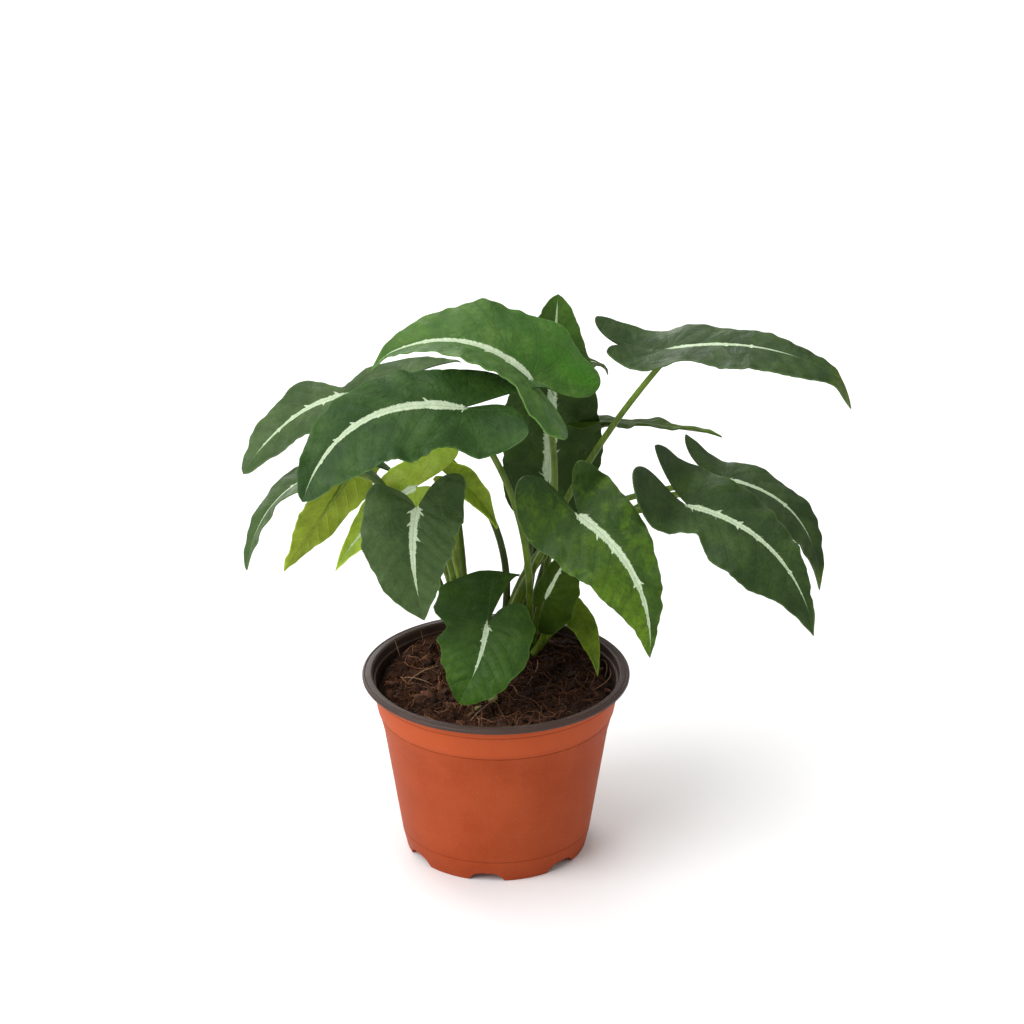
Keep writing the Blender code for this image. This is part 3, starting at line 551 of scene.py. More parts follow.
class Shader:
    """One material's nodes, with the colour and normal reached so far."""

    def __init__(self, name, roughness=0.5, specular=0.5):
        self.material = bpy.data.materials.new(name)
        self.material.use_nodes = True
        self.tree = self.material.node_tree
        self.surface = self.tree.nodes["Principled BSDF"]
        self.surface.inputs["Roughness"].default_value = roughness
        self.surface.inputs["Specular IOR Level"].default_value = specular
        self.place = self.node("ShaderNodeTexCoord").outputs["Object"]
        self.colour = None
        self.normal = None

    def node(self, kind, values=(), **settings):
        node = self.tree.nodes.new(kind)
        for name, value in settings.items():
            setattr(node, name, value)
        for socket, value in values:
            self.feed(node.inputs[socket], value)
        return node

    def feed(self, socket, value):
        if isinstance(value, bpy.types.NodeSocket):
            self.tree.links.new(value, socket)
        elif value is not None:
            socket.default_value = value

    def field(self, name):
        return self.node("ShaderNodeAttribute", attribute_name=name).outputs["Fac"]

    def axis(self, index):
        return self.node("ShaderNodeSeparateXYZ", ((0, self.place),)).outputs[index]

    def math(self, operation, *values):
        return self.node("ShaderNodeMath", enumerate(values), operation=operation).outputs[0]

    def times(self, first, second):
        return self.math("MULTIPLY", first, second)

    def vector(self, x, y, z):
        return self.node("ShaderNodeCombineXYZ", enumerate((x, y, z))).outputs[0]

    def scaled(self, factors, at=None):
        values = ((0, at or self.place), (1, factors))
        return self.node("ShaderNodeVectorMath", values, operation="MULTIPLY").outputs[0]

    def noise(self, scale, detail=3.0, rough=0.5, distortion=0.0, at=None):
        values = (("Vector", at or self.place), ("Scale", scale), ("Detail", detail),
                  ("Roughness", rough), ("Distortion", distortion))
        return self.node("ShaderNodeTexNoise", values).outputs["Fac"]

    def ramp(self, value, low, high, start=0.0, end=1.0):
        """Smooth step of value from start at low to end at high."""
        values = ((0, value), (1, low), (2, high), (3, start), (4, end))
        return self.node("ShaderNodeMapRange", values, interpolation_type="SMOOTHSTEP").outputs[0]

    def mix(self, share, first, second):
        node = self.node("ShaderNodeMix", data_type="RGBA")
        self.feed(node.inputs[0], share)
        for socket, value in ((node.inputs[6], first), (node.inputs[7], second)):
            self.feed(socket, (*value, 1.0) if isinstance(value, tuple) else value)
        return node.outputs[2]

    def paint(self, share, colour):
        self.colour = self.mix(share, self.colour, colour)

    def bump(self, height, distance, strength):
        values = (("Height", height), ("Distance", distance), ("Strength", strength),
                  ("Normal", self.normal))
        self.normal = self.node("ShaderNodeBump", values).outputs[0]

    def finish(self, roughness=None):
        values = (("Base Color", self.colour), ("Normal", self.normal), ("Roughness", roughness))
        for socket, value in values:
            self.feed(self.surface.inputs[socket], value)
        return self.material


def vein_distance(skin):
    """Millimetres to the nearest side vein."""
    shifted = skin.math("FRACT", skin.math("ADD", skin.field("vein"), 0.5))
    nearest = skin.math("ABSOLUTE", skin.math("SUBTRACT", shifted, 0.5))
    return skin.times(nearest, skin.field("vein_gap"))


def leaf_veins(skin, away, reach, full, net_reach):
    """Shares of side vein, which fades out near the margin, and of the fine net."""
    fading = skin.ramp(skin.field("edge"), 0.5, full)
    plane = skin.vector(skin.field("along"), skin.field("offset"), 0.0)
    values = (("Vector", plane), ("Scale", NET_SCALE))
    cells = skin.node("ShaderNodeTexVoronoi", values, feature="DISTANCE_TO_EDGE").outputs[0]
    return skin.times(skin.ramp(away, reach, 0.1), fading), skin.ramp(cells, net_reach, 0.0)


def silver_band(skin, away):
    """The ragged band on both sides of the midrib, with barbs where side veins leave it."""
    offset = skin.field("offset")
    seed = skin.field("seed")
    wide = skin.field("band")
    reach = skin.math("ABSOLUTE", offset)
    slant = skin.math("SUBTRACT", skin.field("along"), skin.times(reach, 0.7))
    grain = skin.vector(slant, skin.times(offset, 0.22), seed)
    teeth = skin.times(skin.noise(1.7, 3.0, 0.65, at=grain), 1.15)
    drift = skin.times(skin.noise(0.14, 1.0, at=grain), 0.75)
    whole = skin.math("ROUND", skin.field("vein"))
    vein = skin.vector(whole, skin.math("SIGN", offset), seed)
    luck = skin.node("ShaderNodeTexWhiteNoise", (("Vector", vein),)).outputs["Value"]
    barb = skin.times(skin.ramp(away, 1.1, 0.0), skin.ramp(luck, 0.35, 0.9))
    spike = skin.times(skin.math("MINIMUM", wide, 2.2), skin.times(barb, 1.1))
    width = skin.math("ADD", skin.times(wide, skin.math("ADD", teeth, drift)), spike)
    return skin.ramp(skin.math("SUBTRACT", width, reach), -0.1, 0.15), reach, grain


def leaf_top(name, tone):
    skin = Shader(f"leaf_{name}", 0.5, tone.gloss)
    away = vein_distance(skin)
    edge = skin.field("edge")
    cloud = skin.noise(55.0, 4.0, 0.6)
    skin.colour = skin.mix(skin.ramp(cloud, 0.35, 0.68), tone.dark, tone.light)
    # The glow field paints fresh green: by the stalk it is painted light shining through the blade, at
    # the tip the tip's own fresh green.
    uneven_glow = skin.ramp(skin.noise(60.0, 4.0, 0.6), 0.35, 0.6, 0.35, 1.0)
    glow = skin.times(skin.field("glow"), uneven_glow)
    skin.paint(skin.math("MINIMUM", glow, 1.0), tone.fresh)
    blotches = skin.noise(75.0, 5.0, 0.62, 0.6)
    skin.paint(skin.ramp(blotches, 0.48, 0.66, 0.0, tone.mottle), tone.blotch)
    flecks = skin.noise(450.0, 3.0, 0.6)
    skin.paint(skin.ramp(flecks, 0.42, 0.7, 0.0, 0.4), tinted(tone.dark, 0.8))
    vein, net = leaf_veins(skin, away, 0.75, 7.0, 0.10)
    lighter = tinted(tone.light, 1.7, 0.008)
    skin.paint(skin.times(vein, 0.08), lighter)
    skin.paint(skin.times(net, 0.05), lighter)
    # Painted shade: the blade is darkened along its sunken side veins.
    skin.paint(skin.ramp(away, 0.2, 2.6, 0.16, 0.0), tinted(tone.dark, 0.45))
    skin.paint(skin.ramp(edge, 0.9, 0.1, 0.0, 0.5), tinted(tone.light, 1.7, 0.012))
    band, reach, grain = silver_band(skin, away)
    streak = skin.noise(1.3, 3.0, 0.6, at=skin.scaled((0.5, 4.0, 1.0), grain))
    pale = skin.mix(skin.ramp(streak, 0.35, 0.75, 0.0, 0.55), BAND_PALE, BAND_GREEN)
    pale = skin.mix(skin.ramp(reach, 0.36, 0.1, 0.0, 0.5), pale, BAND_LINE)
    skin.paint(band, pale)
    skin.bump(skin.math("SUBTRACT", skin.times(net, -0.25), vein), 0.0003, 0.3)
    skin.bump(skin.noise(80.0, 3.0, 0.55, 0.8), 0.0030, 0.55)
    skin.bump(skin.noise(2600.0, 2.0), 0.00006, 0.5)
    return skin.finish(skin.ramp(skin.noise(120.0), 0.3, 0.7, 0.40, 0.56))


def leaf_under(name, tone):
    skin = Shader(f"leaf_{name}_under", 0.6, 0.2)
    cloud = skin.ramp(skin.noise(60.0, 4.0, 0.6), 0.3, 0.7)
    skin.colour = skin.mix(cloud, tinted(tone.under, 0.62), tone.under)
    vein, net = leaf_veins(skin, vein_distance(skin), 0.8, 6.0, 0.12)
    lighter = tinted(tone.under, 1.5, 0.02)
    skin.paint(skin.times(vein, 0.16), lighter)
    skin.paint(skin.times(net, 0.12), lighter)
    skin.bump(skin.math("ADD", vein, skin.times(net, 0.3)), 0.0003, 0.6)
    return skin.finish()


def stalk_material(name, low, high):
    skin = Shader(name, 0.42, 0.25)
    streaks = skin.noise(900.0, at=skin.scaled((1.0, 1.0, 0.06)))
    skin.colour = skin.mix(skin.ramp(skin.noise(70.0), 0.3, 0.7), low, high)
    skin.paint(skin.ramp(streaks, 0.45, 0.75, 0.0, 0.35), tinted(high, 1.6))
    skin.paint(skin.ramp(skin.axis(2), 0.125, 0.096, 0.0, 0.6), tinted(high, 1.35, 0.02))
    skin.bump(streaks, 0.0002, 0.4)
    return skin.finish()


def pot_plastic(name, main, pale, worn, seed, gloss, rings=()):
    """Thermoformed plastic: faint clouds, fine grain and pale scuffs, with painted light on the collar
    and painted shade in the drawn-in rings.
    """
    skin = Shader(name, 0.5, gloss)
    cloud = skin.noise(28.0, 4.0, 0.6)
    skin.colour = skin.mix(skin.ramp(cloud, 0.3, 0.7), main, pale)
    streak = skin.noise(260.0 + seed, at=skin.scaled((1.0, 1.0, 0.12)))
    skin.paint(skin.ramp(streak, 0.5, 0.8, 0.0, 0.18), pale)
    scuff = skin.noise(150.0 + seed, 6.0, 0.75, 1.2, skin.scaled((1.0, 1.0, 3.0)))
    spots = skin.ramp(skin.noise(22.0, 2.0), 0.5, 0.62)
    marks = skin.times(skin.ramp(scuff, 0.64, 0.74), spots)
    skin.paint(skin.times(marks, 0.75), worn)
    skin.paint(skin.ramp(skin.noise(900.0, 4.0, 0.7), 0.52, 0.78, 0.0, 0.16), worn)
    height = skin.axis(2)
    # Painted light: the collar above its foot is painted lighter, as where light falls on it.
    if rings:
        skin.paint(skin.ramp(height, 0.083, 0.089, 0.0, 0.45), tinted(pale, 1.45))
    # Painted shade: each drawn-in ring is darkened, as shade in its groove.
    for ring in rings:
        off = skin.math("ABSOLUTE", skin.math("SUBTRACT", height, ring))
        skin.paint(skin.ramp(off, GROOVE_SHADE, 0.0001, 0.0, 0.45), tinted(main, 0.35))
    skin.bump(skin.noise(1500.0), 0.00008, 0.35)
    skin.bump(cloud, 0.0006, 0.25)
    return skin.finish(skin.ramp(cloud, 0.3, 0.7, 0.44, 0.56))


def soil_material(name, deep, mid, bright):
    """Coir and bark with bright grains and fibres, and painted shade that darkens it on the right."""
    skin = Shader(name, 0.9, 0.25)
    grains = skin.noise(420.0, 6.0, 0.7)
    patches = skin.noise(70.0)
    skin.colour = skin.mix(skin.ramp(grains, 0.35, 0.7), deep, mid)
    skin.paint(skin.ramp(patches, 0.4, 0.7, 0.0, 0.5), bright)
    fibre = skin.noise(700.0, 3.0, 0.6, 1.0, skin.scaled((1.0, 3.0, 1.0)))
    skin.paint(skin.ramp(fibre, 0.62, 0.72, 0.0, 0.5), tinted(bright, 2.2))
    # Painted shade: darker towards +X, the side away from the key light, broken up by the patches.
    painted_shade_right = skin.math("ADD", skin.axis(0), skin.times(patches, 0.03))
    skin.paint(skin.ramp(painted_shade_right, 0.012, 0.050, 0.0, 0.6), deep)
    skin.bump(grains, 0.0012, 0.8)
    return skin.finish()


def vein_field(spec, share, offset, hand):
    """Vein number at a place of one half, and the millimetres from one vein to the next there."""
    length = midrib_length(spec) / MM
    spacing = max(VEIN_GAP_LEAST, length / VEIN_COUNT)
    along = share * length - VEIN_CURL * offset * abs(offset) / spec.width[hand]
    start = along - VEIN_LEAN * offset
    lean = math.atan2(1.0, VEIN_LEAN)
    if start >= 0 or offset <= 0:
        return start / spacing, spacing * math.sin(lean)
    turn = math.atan2(offset, along) - lean
    return -turn / VEIN_TURN, math.hypot(along, offset) * VEIN_TURN


def band_width(spec, share):
    """Half the width of the silver band in millimetres at a share of the midrib."""
    if share < 0 or share >= spec.band:
        return 0.0
    size = BAND_SHARE * sum(spec.width) / 2
    taper = (1 - (share / spec.band)**1.7)
    start = min(1.0, 0.55 + share * 9)
    return min(BAND_MOST, size) * taper * start * spec.broad


def relief(spec, phase, offset, hand):
    """Puckers of the blade between its side veins, in millimetres."""
    width = spec.width[hand]
    swell = 0.5 - 0.5 * math.cos(math.tau * phase)
    inward = min(1.0, offset / (0.25 * width)) * max(0.0, 1 - (offset / width)**3)
    return PUCKER * min(1.0, width / BROAD_HALF) * (swell - 0.5) * inward


def uneven(spec, share, across, hand, seed):
    """Small waves of the margin, in the blade's plane and out of it, in millimetres."""
    along = share * midrib_length(spec) / MM * MARGIN_GRAIN
    ends = min(1.0, (1 - share) * 10, (share + spec.lobe[hand]) * 10)
    ends *= min(1.0, spec.width[hand] / BROAD_HALF)
    ragged = noise.noise(Vector((along * 2, hand * 7.3, seed))) * MARGIN_RAGGED * across**2
    wavy = noise.noise(Vector((along, hand * 7.3 + 3, seed))) * MARGIN_WAVY * across**3
    return ragged * ends, wavy * ends


def fine_rows(spec, hand):
    lobe = spec.lobe[hand]
    back = [-lobe * math.sin(math.pi / 2 * row / FINE_LOBE) for row in range(FINE_LOBE, 0, -1)]
    return back + [row / FINE_ROWS for row in range(FINE_ROWS + 1)]


def blade_half(spec, seed, hand, vertices, data, rib):
    """Rows of points of one half from inner edge to margin, with the entries for BLADE_FIELDS."""
    side = 1 if hand == 0 else -1
    width = spec.width[hand]
    length = midrib_length(spec) / MM
    glow_start = spec.tip_glow[0]
    rows = []
    for share in fine_rows(spec, hand):
        inner = sinus_edge(spec, share, hand) * width
        outer = margin(spec, share, hand) * width
        _, _, left, up = rib_frame(spec, max(0.0, share))
        droop = spec.droop * MM * max(0.0, (share - DROOP_START) / (1 - DROOP_START))**2
        # Painted light: fresh green by the stalk, standing for light shining through the blade.
        base_glow = spec.glow[hand] * max(0.0, min(1.0, 0.6 - 2.2 * share))
        tip_glow = spec.tip_glow[1 + hand] * max(0.0, (share - glow_start) / (1.001 - glow_start))
        row = []
        for column in range(FINE_COLUMNS + 1):
            shared = column == 0 and share >= 0
            if shared and share in rib:
                row.append(rib[share])
                continue
            across = column / FINE_COLUMNS
            offset = inner + (outer - inner) * across
            ragged, wavy = uneven(spec, share, across, hand, seed)
            phase, gap = vein_field(spec, share, offset, hand)
            point = blade_point(spec, share, across, hand) + left * (side * ragged * MM)
            point += up * ((relief(spec, phase, offset, hand) + wavy) * MM)
            point.z -= droop
            vertices.append(point)
            data.append((share * length, side * offset, phase, gap, band_width(spec, share),
                         outer - offset, base_glow * min(1.0, across * 2) + tip_glow, float(seed)))
            row.append(len(vertices) - 1)
            if shared:
                rib[share] = row[-1]
        rows.append(row)
    return rows


def make_blade(name, spec, seed, materials):
    """A fine blade on the solid's surface, with what its material reads on its points."""
    vertices, faces, data, rib = [], [], [], {}
    for hand in (0, 1):
        rows = blade_half(spec, seed, hand, vertices, data, rib)
        for near, far in zip(rows, rows[1:]):
            for column in range(FINE_COLUMNS):
                quad = [near[column], far[column], far[column + 1], near[column + 1]]
                faces.append(quad if hand == 0 else quad[::-1])
    blade = new_object(f"blade_{name}", vertices, faces)
    for index, field in enumerate(BLADE_FIELDS):
        layer = blade.data.attributes.new(field, "FLOAT", "POINT")
        layer.data.foreach_set("value", [entry[index] for entry in data])
    shape = bmesh.new()
    shape.from_mesh(blade.data)
    bmesh.ops.remove_doubles(shape, verts=shape.verts, dist=SAME_PLACE)
    shape.to_mesh(blade.data)
    shape.free()
    for material in materials:
        blade.data.materials.append(material)
    shell = blade.modifiers.new("Thickness", "SOLIDIFY")
    shell.thickness = BLADE
    shell.offset = -1.0
    shell.material_offset = 1
    shell.material_offset_rim = 0
    apply_modifiers(blade)
    seat(blade, "leaf", 50, [], spec.shoot)


def make_stalk(name, spec, material):
    points, radii = stalk_line(spec)
    curve = bpy.data.curves.new(f"stalk_{name}", "CURVE")
    curve.dimensions = "3D"
    curve.bevel_depth = 1.0
    curve.bevel_resolution = 3
    curve.use_fill_caps = True
    spline = curve.splines.new("POLY")
    spline.points.add(len(points) - 1)
    for knot, point, radius in zip(spline.points, points, radii):
        knot.co = (*point, 1.0)
        knot.radius = radius
    guide = add_object(f"stalk_{name}_guide", curve)
    mesh = evaluated_mesh(guide)
    bpy.data.objects.remove(guide)
    mesh.materials.clear()
    seat(add_object(f"stalk_{name}", mesh), "leaf", 60, [material], spec.shoot)


def turned(name, profile, steps):
    """A body turned from a profile of (radius, height) points whose ends lie on the axis."""
    points = [(radius, 0.0, height) for radius, height in profile]
    item = new_object(name, points, [], [(i, i + 1) for i in range(len(points) - 1)])
    screw = item.modifiers.new("Turn", "SCREW")
    screw.steps = steps
    screw.use_merge_vertices = True
    screw.merge_threshold = 0.00001
    apply_modifiers(item)
    return item


def make_stem(name, material):
    profile = [
        (0.0, STEM_TOP), (STEM_NECK_RADIUS * 0.4, STEM_TOP),
        (STEM_NECK_RADIUS * 0.8, (STEM_TOP + STEM_NECK) / 2), (STEM_NECK_RADIUS, STEM_NECK),
        (STEM_RADIUS, SOIL_TOP), (STEM_RADIUS, STEM_FOOT), (0.0, STEM_FOOT),
    ]
    stem = turned(f"stem_{name}", profile, STEM_SIDES)
    x, y = SHOOTS[name]
    stem.data.transform(Matrix.Translation((x * MM, y * MM, 0.0)))
    seat(stem, "leaf", 40, [material], name)


def rounded(points, radius, steps):
    """Turns each inner corner of a profile into a small arc."""
    points = [Vector(point) for point in points]
    result = [points[0]]
    for before, corner, after in zip(points, points[1:], points[2:]):
        leg = min(radius, (before - corner).length / 3, (after - corner).length / 3)
        first = corner + (before - corner).normalized() * leg
        last = corner + (after - corner).normalized() * leg
        for step in range(steps + 1):
            share = step / steps
            result.append(first.lerp(corner, share).lerp(corner.lerp(last, share), share))
    return result + [points[-1]]


def foot_notch(name, angle, group):
    """An arched opening through the foot ring, rounded because it is formed and not cut."""
    shape = bmesh.new()
    size = Matrix.Diagonal((NOTCH_LENGTH, NOTCH_WIDTH, 2 * NOTCH_HEIGHT, 1.0))
    bmesh.ops.create_cube(shape, size=1.0, matrix=size)
    for vertex in shape.verts:
        if vertex.co.z > 0:
            vertex.co.y *= NOTCH_TOP_SHARE
    outward = Matrix.Translation((FOOT_RADIUS, 0.0, 0.0))
    shape.transform(Matrix.Rotation(angle, 4, "Z") @ outward)
    bevel = from_bmesh(name, shape, group).modifiers.new("Rounding", "BEVEL")
    bevel.width = NOTCH_ROUNDING
    bevel.segments = 4
    bevel.limit_method = "NONE"


def drain_hole(name, angle, group):
    low = WALL
    high = FLOOR_UNDERSIDE + 2 * WALL
    place = (*around(DRAIN_CIRCLE, angle), (low + high) / 2)
    shape = bmesh.new()
    bmesh.ops.create_cone(shape, cap_ends=True, segments=DRAIN_SIDES, radius1=DRAIN_RADIUS,
                          radius2=DRAIN_RADIUS, depth=high - low, matrix=Matrix.Translation(place))
    from_bmesh(name, shape, group)


def make_pot():
    """The finer pot, with its dark inner layer folded out at the rim."""
    pot = turned("pot_shell", rounded(pot_profile(), POT_ROUNDING, 3), POT_STEPS)
    cutters = bpy.data.collections.new("pot_cutters")
    bpy.context.scene.collection.children.link(cutters)
    for index in range(NOTCH_COUNT):
        angle = NOTCH_FIRST_ANGLE + index * math.tau / NOTCH_COUNT
        foot_notch(f"notch_{index}", angle, cutters)
        drain_hole(f"drain_{index}", angle, cutters)
    cuts = pot.modifiers.new("Cuts", "BOOLEAN")
    cuts.operation = "DIFFERENCE"
    cuts.solver = "EXACT"
    cuts.operand_type = "COLLECTION"
    cuts.collection = cutters
    apply_modifiers(pot)
    for item in list(cutters.objects):
        bpy.data.objects.remove(item)
    bpy.data.collections.remove(cutters)
    outside = pot_plastic("pot_terracotta", (0.312, 0.05, 0.014), (0.368, 0.067, 0.021),
                          (0.58, 0.28, 0.17), 0.0, 0.06, [ring for ring, _, _ in GROOVES])
    inside = pot_plastic("pot_rim_grey", (0.036, 0.017, 0.012), (0.056, 0.031, 0.023),
                         (0.2, 0.16, 0.14), 31.0, 0.32)
    pot.data.materials.clear()
    seat(pot, "terracotta_plastic", 35, [outside, inside], "pot")
    under_rim = POT_HEIGHT - RIM_DEPTH - 0.0002
    for face in pot.data.polygons:
        x, y, z = face.center
        inner = outer_radius(z) - WALL / 2
        inward = z > FLOOR_UNDERSIDE + WALL / 2 and math.hypot(x, y) < inner
        face.material_index = 1 if inward or z > under_rim else 0


def soil_surface(x, y):
    """Height of the crumbly top: the solid's lumps with smaller crumbs, mounded to the back."""
    share = math.hypot(x, y) / SOIL_EDGE
    lump = noise.noise(Vector((x, y, 0.0)) * SOIL_LUMPS_PER_METRE)
    solid = SOIL_TOP + SOIL_CROWN * (1.0 - min(1.0, share)**2) + SOIL_LUMP * lump
    rough = sum(size * noise.noise(Vector((x, y, 0.3)) * scale) for scale, size in CRUMBS)
    sink = max(0.0, share - SINK_START) * SINK_SLOPE
    back = max(0.0, min(1.0, (y - MOUND_START) / MOUND_LENGTH))
    return solid + rough - sink + SOIL_MOUND * back**2 * (3 - 2 * back)


def make_soil():
    edge = COLLAR_FOOT_RADIUS + (COLLAR_MID_RADIUS - COLLAR_FOOT_RADIUS) * SOIL_FILL - WALL - GAP
    floor = SOIL_TOP - SOIL_SKIRT
    vertices = [(0.0, 0.0, soil_surface(0.0, 0.0))]
    rings = [(edge * ring / SOIL_RINGS, None) for ring in range(1, SOIL_RINGS + 1)]
    for radius, height in rings + [(edge - SOIL_LEAN, floor)]:
        for step in range(SOIL_SECTORS):
            x, y = around(radius, math.tau * step / SOIL_SECTORS)
            vertices.append((x, y, soil_surface(x, y) if height is None else height))
    vertices.append((0.0, 0.0, floor))
    faces = []
    last = 1 + SOIL_RINGS * SOIL_SECTORS
    for step in range(SOIL_SECTORS):
        after = (step + 1) % SOIL_SECTORS
        faces.append((0, 1 + step, 1 + after))
        for low in range(1, last, SOIL_SECTORS):
            high = low + SOIL_SECTORS
            faces.append((low + step, high + step, high + after, low + after))
        faces.append((last + step, len(vertices) - 1, last + after))
    coir = soil_material("coir_dark", (0.008, 0.0032, 0.0018), (0.028, 0.0105, 0.005),
                         (0.062, 0.023, 0.01))
    seat(new_object("soil_top", vertices, faces), "potting_soil", 80, [coir], "soil")


def crumb(shape, place, size, seed):
    """A rough crumb or chip with CRUMB_FACES faces, added to a bmesh."""
    made = bmesh.ops.create_icosphere(shape, subdivisions=1, radius=1.0)
    turn = Matrix.Rotation(seed * 2.4, 3, "Z") @ Matrix.Rotation(seed * 1.7, 3, "X")
    for vertex in made["verts"]:
        lump = 1.0 + 0.55 * noise.noise(vertex.co * 1.3 + Vector((seed, 0.0, 0.0)))
        local = Vector((vertex.co.x * size[0], vertex.co.y * size[1], vertex.co.z * size[2]))
        vertex.co = Vector(place) + turn @ (local * lump)


def scatter(draws, clear):
    while True:
        radius = SOIL_REACH * math.sqrt(draws.random())
        x, y = around(radius, draws.random() * math.tau)
        gaps = [math.hypot(x - sx * MM, y - sy * MM) for sx, sy in SHOOTS.values()]
        if min(gaps) >= STEM_RADIUS + clear:
            return x, y


def make_crumbs():
    draws = random.Random(11)
    shape = bmesh.new()
    for index in range(CRUMB_COUNT):
        x, y = scatter(draws, 0.001)
        long = draws.uniform(0.0009, 0.0034) * (1.5 if index % 9 == 0 else 1.0)
        x *= 1 - long / SOIL_REACH
        y *= 1 - long / SOIL_REACH
        size = (long, long * draws.uniform(0.5, 0.9), long * draws.uniform(0.35, 0.8))
        place = (x, y, soil_surface(x, y) + size[2] * draws.uniform(-0.3, 0.5))
        crumb(shape, place, size, draws.uniform(0.0, 90.0))
    crumbs = from_bmesh("crumbs", shape)
    dark = soil_material("bark_dark", (0.012, 0.0045, 0.0025), (0.048, 0.018, 0.009),
                         (0.09, 0.034, 0.015))
    red = soil_material("bark_red", (0.06, 0.022, 0.012), (0.14, 0.055, 0.028), (0.2, 0.1, 0.055))
    seat(crumbs, "potting_soil", 55, [dark, red])
    for face in crumbs.data.polygons:
        face.material_index = 0 if face.index // CRUMB_FACES % RED_EVERY else 1


def strand(draws, length, lift):
    x, y = scatter(draws, 0.0015)
    heading = draws.uniform(0.0, math.tau)
    bend = draws.uniform(-0.5, 0.5)
    steps = max(4, int(length / STRAND_STEP))
    stride = length / steps
    points = []
    rise = draws.uniform(0.0002, 0.0012)
    for step in range(steps + 1):
        share = step / steps
        if math.hypot(x, y) > SOIL_REACH:
            break
        arch = lift * 4 * share * (1 - share)
        points.append(Vector((x, y, soil_surface(x, y) + rise + arch)))
        heading += bend + draws.uniform(-0.3, 0.3)
        x += stride * math.cos(heading)
        y += stride * math.sin(heading)
    return points


def add_strand(vertices, faces, points, radius, sides=3):
    start = len(vertices)
    for index, point in enumerate(points):
        ahead = points[min(index + 1, len(points) - 1)] - points[max(index - 1, 0)]
        ahead.normalize()
        across = ahead.cross(Vector((0.0, 0.0, 1.0)))
        if across.length < 0.05:
            across = Vector((1.0, 0.0, 0.0))
        across.normalize()
        above = across.cross(ahead)
        share = index / (len(points) - 1)
        size = radius * (1.0 - 0.6 * abs(2 * share - 1)**3)
        for side in range(sides):
            turn = math.tau * side / sides
            vertices.append(point + (across * math.cos(turn) + above * math.sin(turn)) * size)
    last = len(vertices) - sides
    for low in range(start, last, sides):
        for side in range(sides):
            after = (side + 1) % sides
            faces.append((low + side, low + after, low + sides + after, low + sides + side))
    faces.append(tuple(range(start, start + sides))[::-1])
    faces.append(tuple(range(last, last + sides)))


def make_fibres(name, count, seed, lengths, radii, lift, colours):
    draws = random.Random(seed)
    vertices, faces = [], []
    for _ in range(count):
        length = draws.uniform(*lengths)
        radius = draws.uniform(*radii)
        points = strand(draws, length, lift * draws.random()**2)
        if len(points) > 3:
            add_strand(vertices, faces, points, radius)
    coir = soil_material(f"{name}_coir", *colours)
    seat(new_object(name, vertices, faces), "potting_soil", 80, [coir])


def make_loose_bits():
    """Single things that lie on the soil: upright fibres, long strands, chips and old stubs."""
    vertices, faces = [], []
    for points, radius in LOOSE_STRANDS:
        places = [Vector(point) * MM for point in points]
        line = [arc_through(*places, step / 8) for step in range(9)]
        add_strand(vertices, faces, line, radius * MM, 5)
    tan = soil_material("strand_tan", (0.24, 0.13, 0.072), (0.38, 0.23, 0.135), (0.48, 0.32, 0.2))
    seat(new_object("loose_strands", vertices, faces), "potting_soil", 80, [tan])
    for name, colours, places in LOOSE_CHIPS:
        shape = bmesh.new()
        for index, (x, y, rise, size) in enumerate(places):
            centre = (x * MM, y * MM, soil_surface(x * MM, y * MM) + rise * MM)
            crumb(shape, centre, tuple(length * MM for length in size), 3.0 + index * 1.9)
        bmesh.ops.subdivide_edges(shape, edges=shape.edges, cuts=1, smooth=0.6)
        material = soil_material(f"{name}_skin", *colours)
        seat(from_bmesh(name, shape), "potting_soil", 60, [material])


def make_stage():
    corners = [(-4, -4, 0), (4, -4, 0), (4, 6, 0), (-4, 6, 0)]
    floor = new_object("floor", corners, [(0, 1, 2, 3)])
    skin = Shader("floor_pale", 0.75, 0.2)
    skin.colour = skin.mix(skin.ramp(skin.noise(3.0), 0.3, 0.7), FLOOR_PALE, FLOOR_PALER)
    floor.data.materials.append(skin.finish())


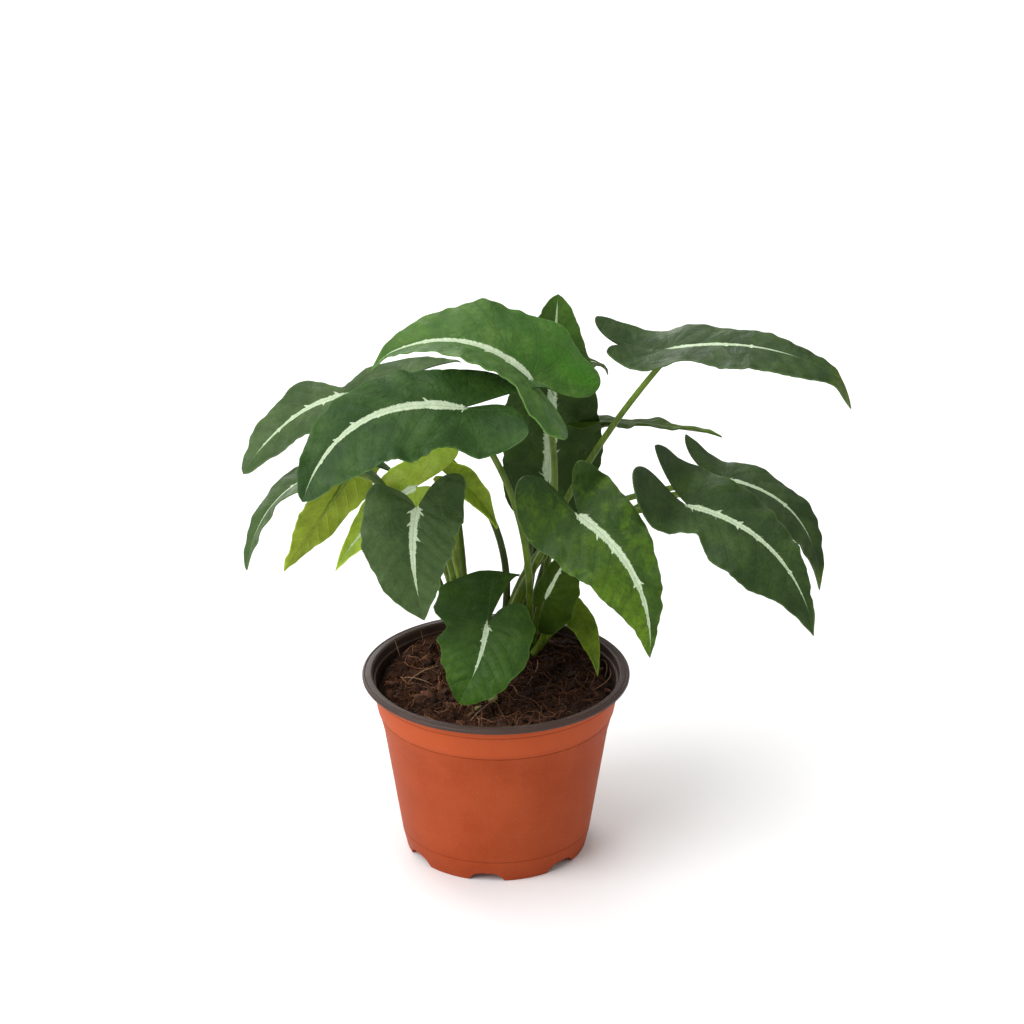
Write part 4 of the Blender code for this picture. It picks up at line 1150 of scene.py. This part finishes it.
def make_lights():
    bpy.context.scene.view_settings.view_transform = "Standard"
    for name, place, size, power, aim in LIGHTS:
        data = bpy.data.lights.new(name, "AREA")
        data.shape = "DISK"
        data.size = size
        data.energy = power
        light = add_object(name, data)
        light.location = place
        light.rotation_euler = (Vector(aim) - Vector(place)).to_track_quat("-Z", "Y").to_euler()
    world = bpy.data.worlds.new("studio")
    world.use_nodes = True
    backdrop = world.node_tree.nodes["Background"].inputs
    backdrop["Color"].default_value = (*WORLD_COLOUR, 1.0)
    backdrop["Strength"].default_value = WORLD_STRENGTH
    bpy.context.scene.world = world


def make_camera():
    data = bpy.data.cameras.new("camera")
    data.sensor_width = 36.0
    data.lens = CAMERA_LENS
    data.clip_start = CAMERA_NEAR
    data.clip_end = CAMERA_FAR
    camera = add_object("camera", data)
    tilt = math.radians(CAMERA_ELEVATION)
    back = Vector((0.0, -math.cos(tilt), math.sin(tilt)))
    camera.location = Vector(CAMERA_TARGET) + back * CAMERA_DISTANCE
    camera.rotation_euler = (-back).to_track_quat("-Z", "Y").to_euler()
    bpy.context.scene.camera = camera


def main():
    make_camera()
    make_lights()
    make_stage()
    blades = {name: (leaf_top(name, tone), leaf_under(name, tone))
              for name, tone in LEAF_TONES.items()}
    stalks = {name: stalk_material(f"stalk_{name}", *colours)
              for name, colours in STALK_TONES.items()}
    for seed, (name, spec) in enumerate(LEAVES.items()):
        make_blade(name, spec, seed, blades[spec.tone])
        make_stalk(name, spec, stalks[spec.stalk])
    for name in SHOOTS:
        make_stem(name, stalks["pale"])
    make_pot()
    make_soil()
    make_crumbs()
    make_fibres("fine_fibres", 3000, 5, (0.005, 0.018), (0.00009, 0.00019), 0.0022,
                ((0.03, 0.01, 0.004), (0.1, 0.034, 0.013), (0.2, 0.076, 0.031)))
    make_fibres("long_fibres", 420, 6, (0.010, 0.032), (0.00011, 0.00024), 0.004,
                ((0.11, 0.042, 0.018), (0.27, 0.12, 0.058), (0.44, 0.24, 0.13)))
    make_loose_bits()


main()
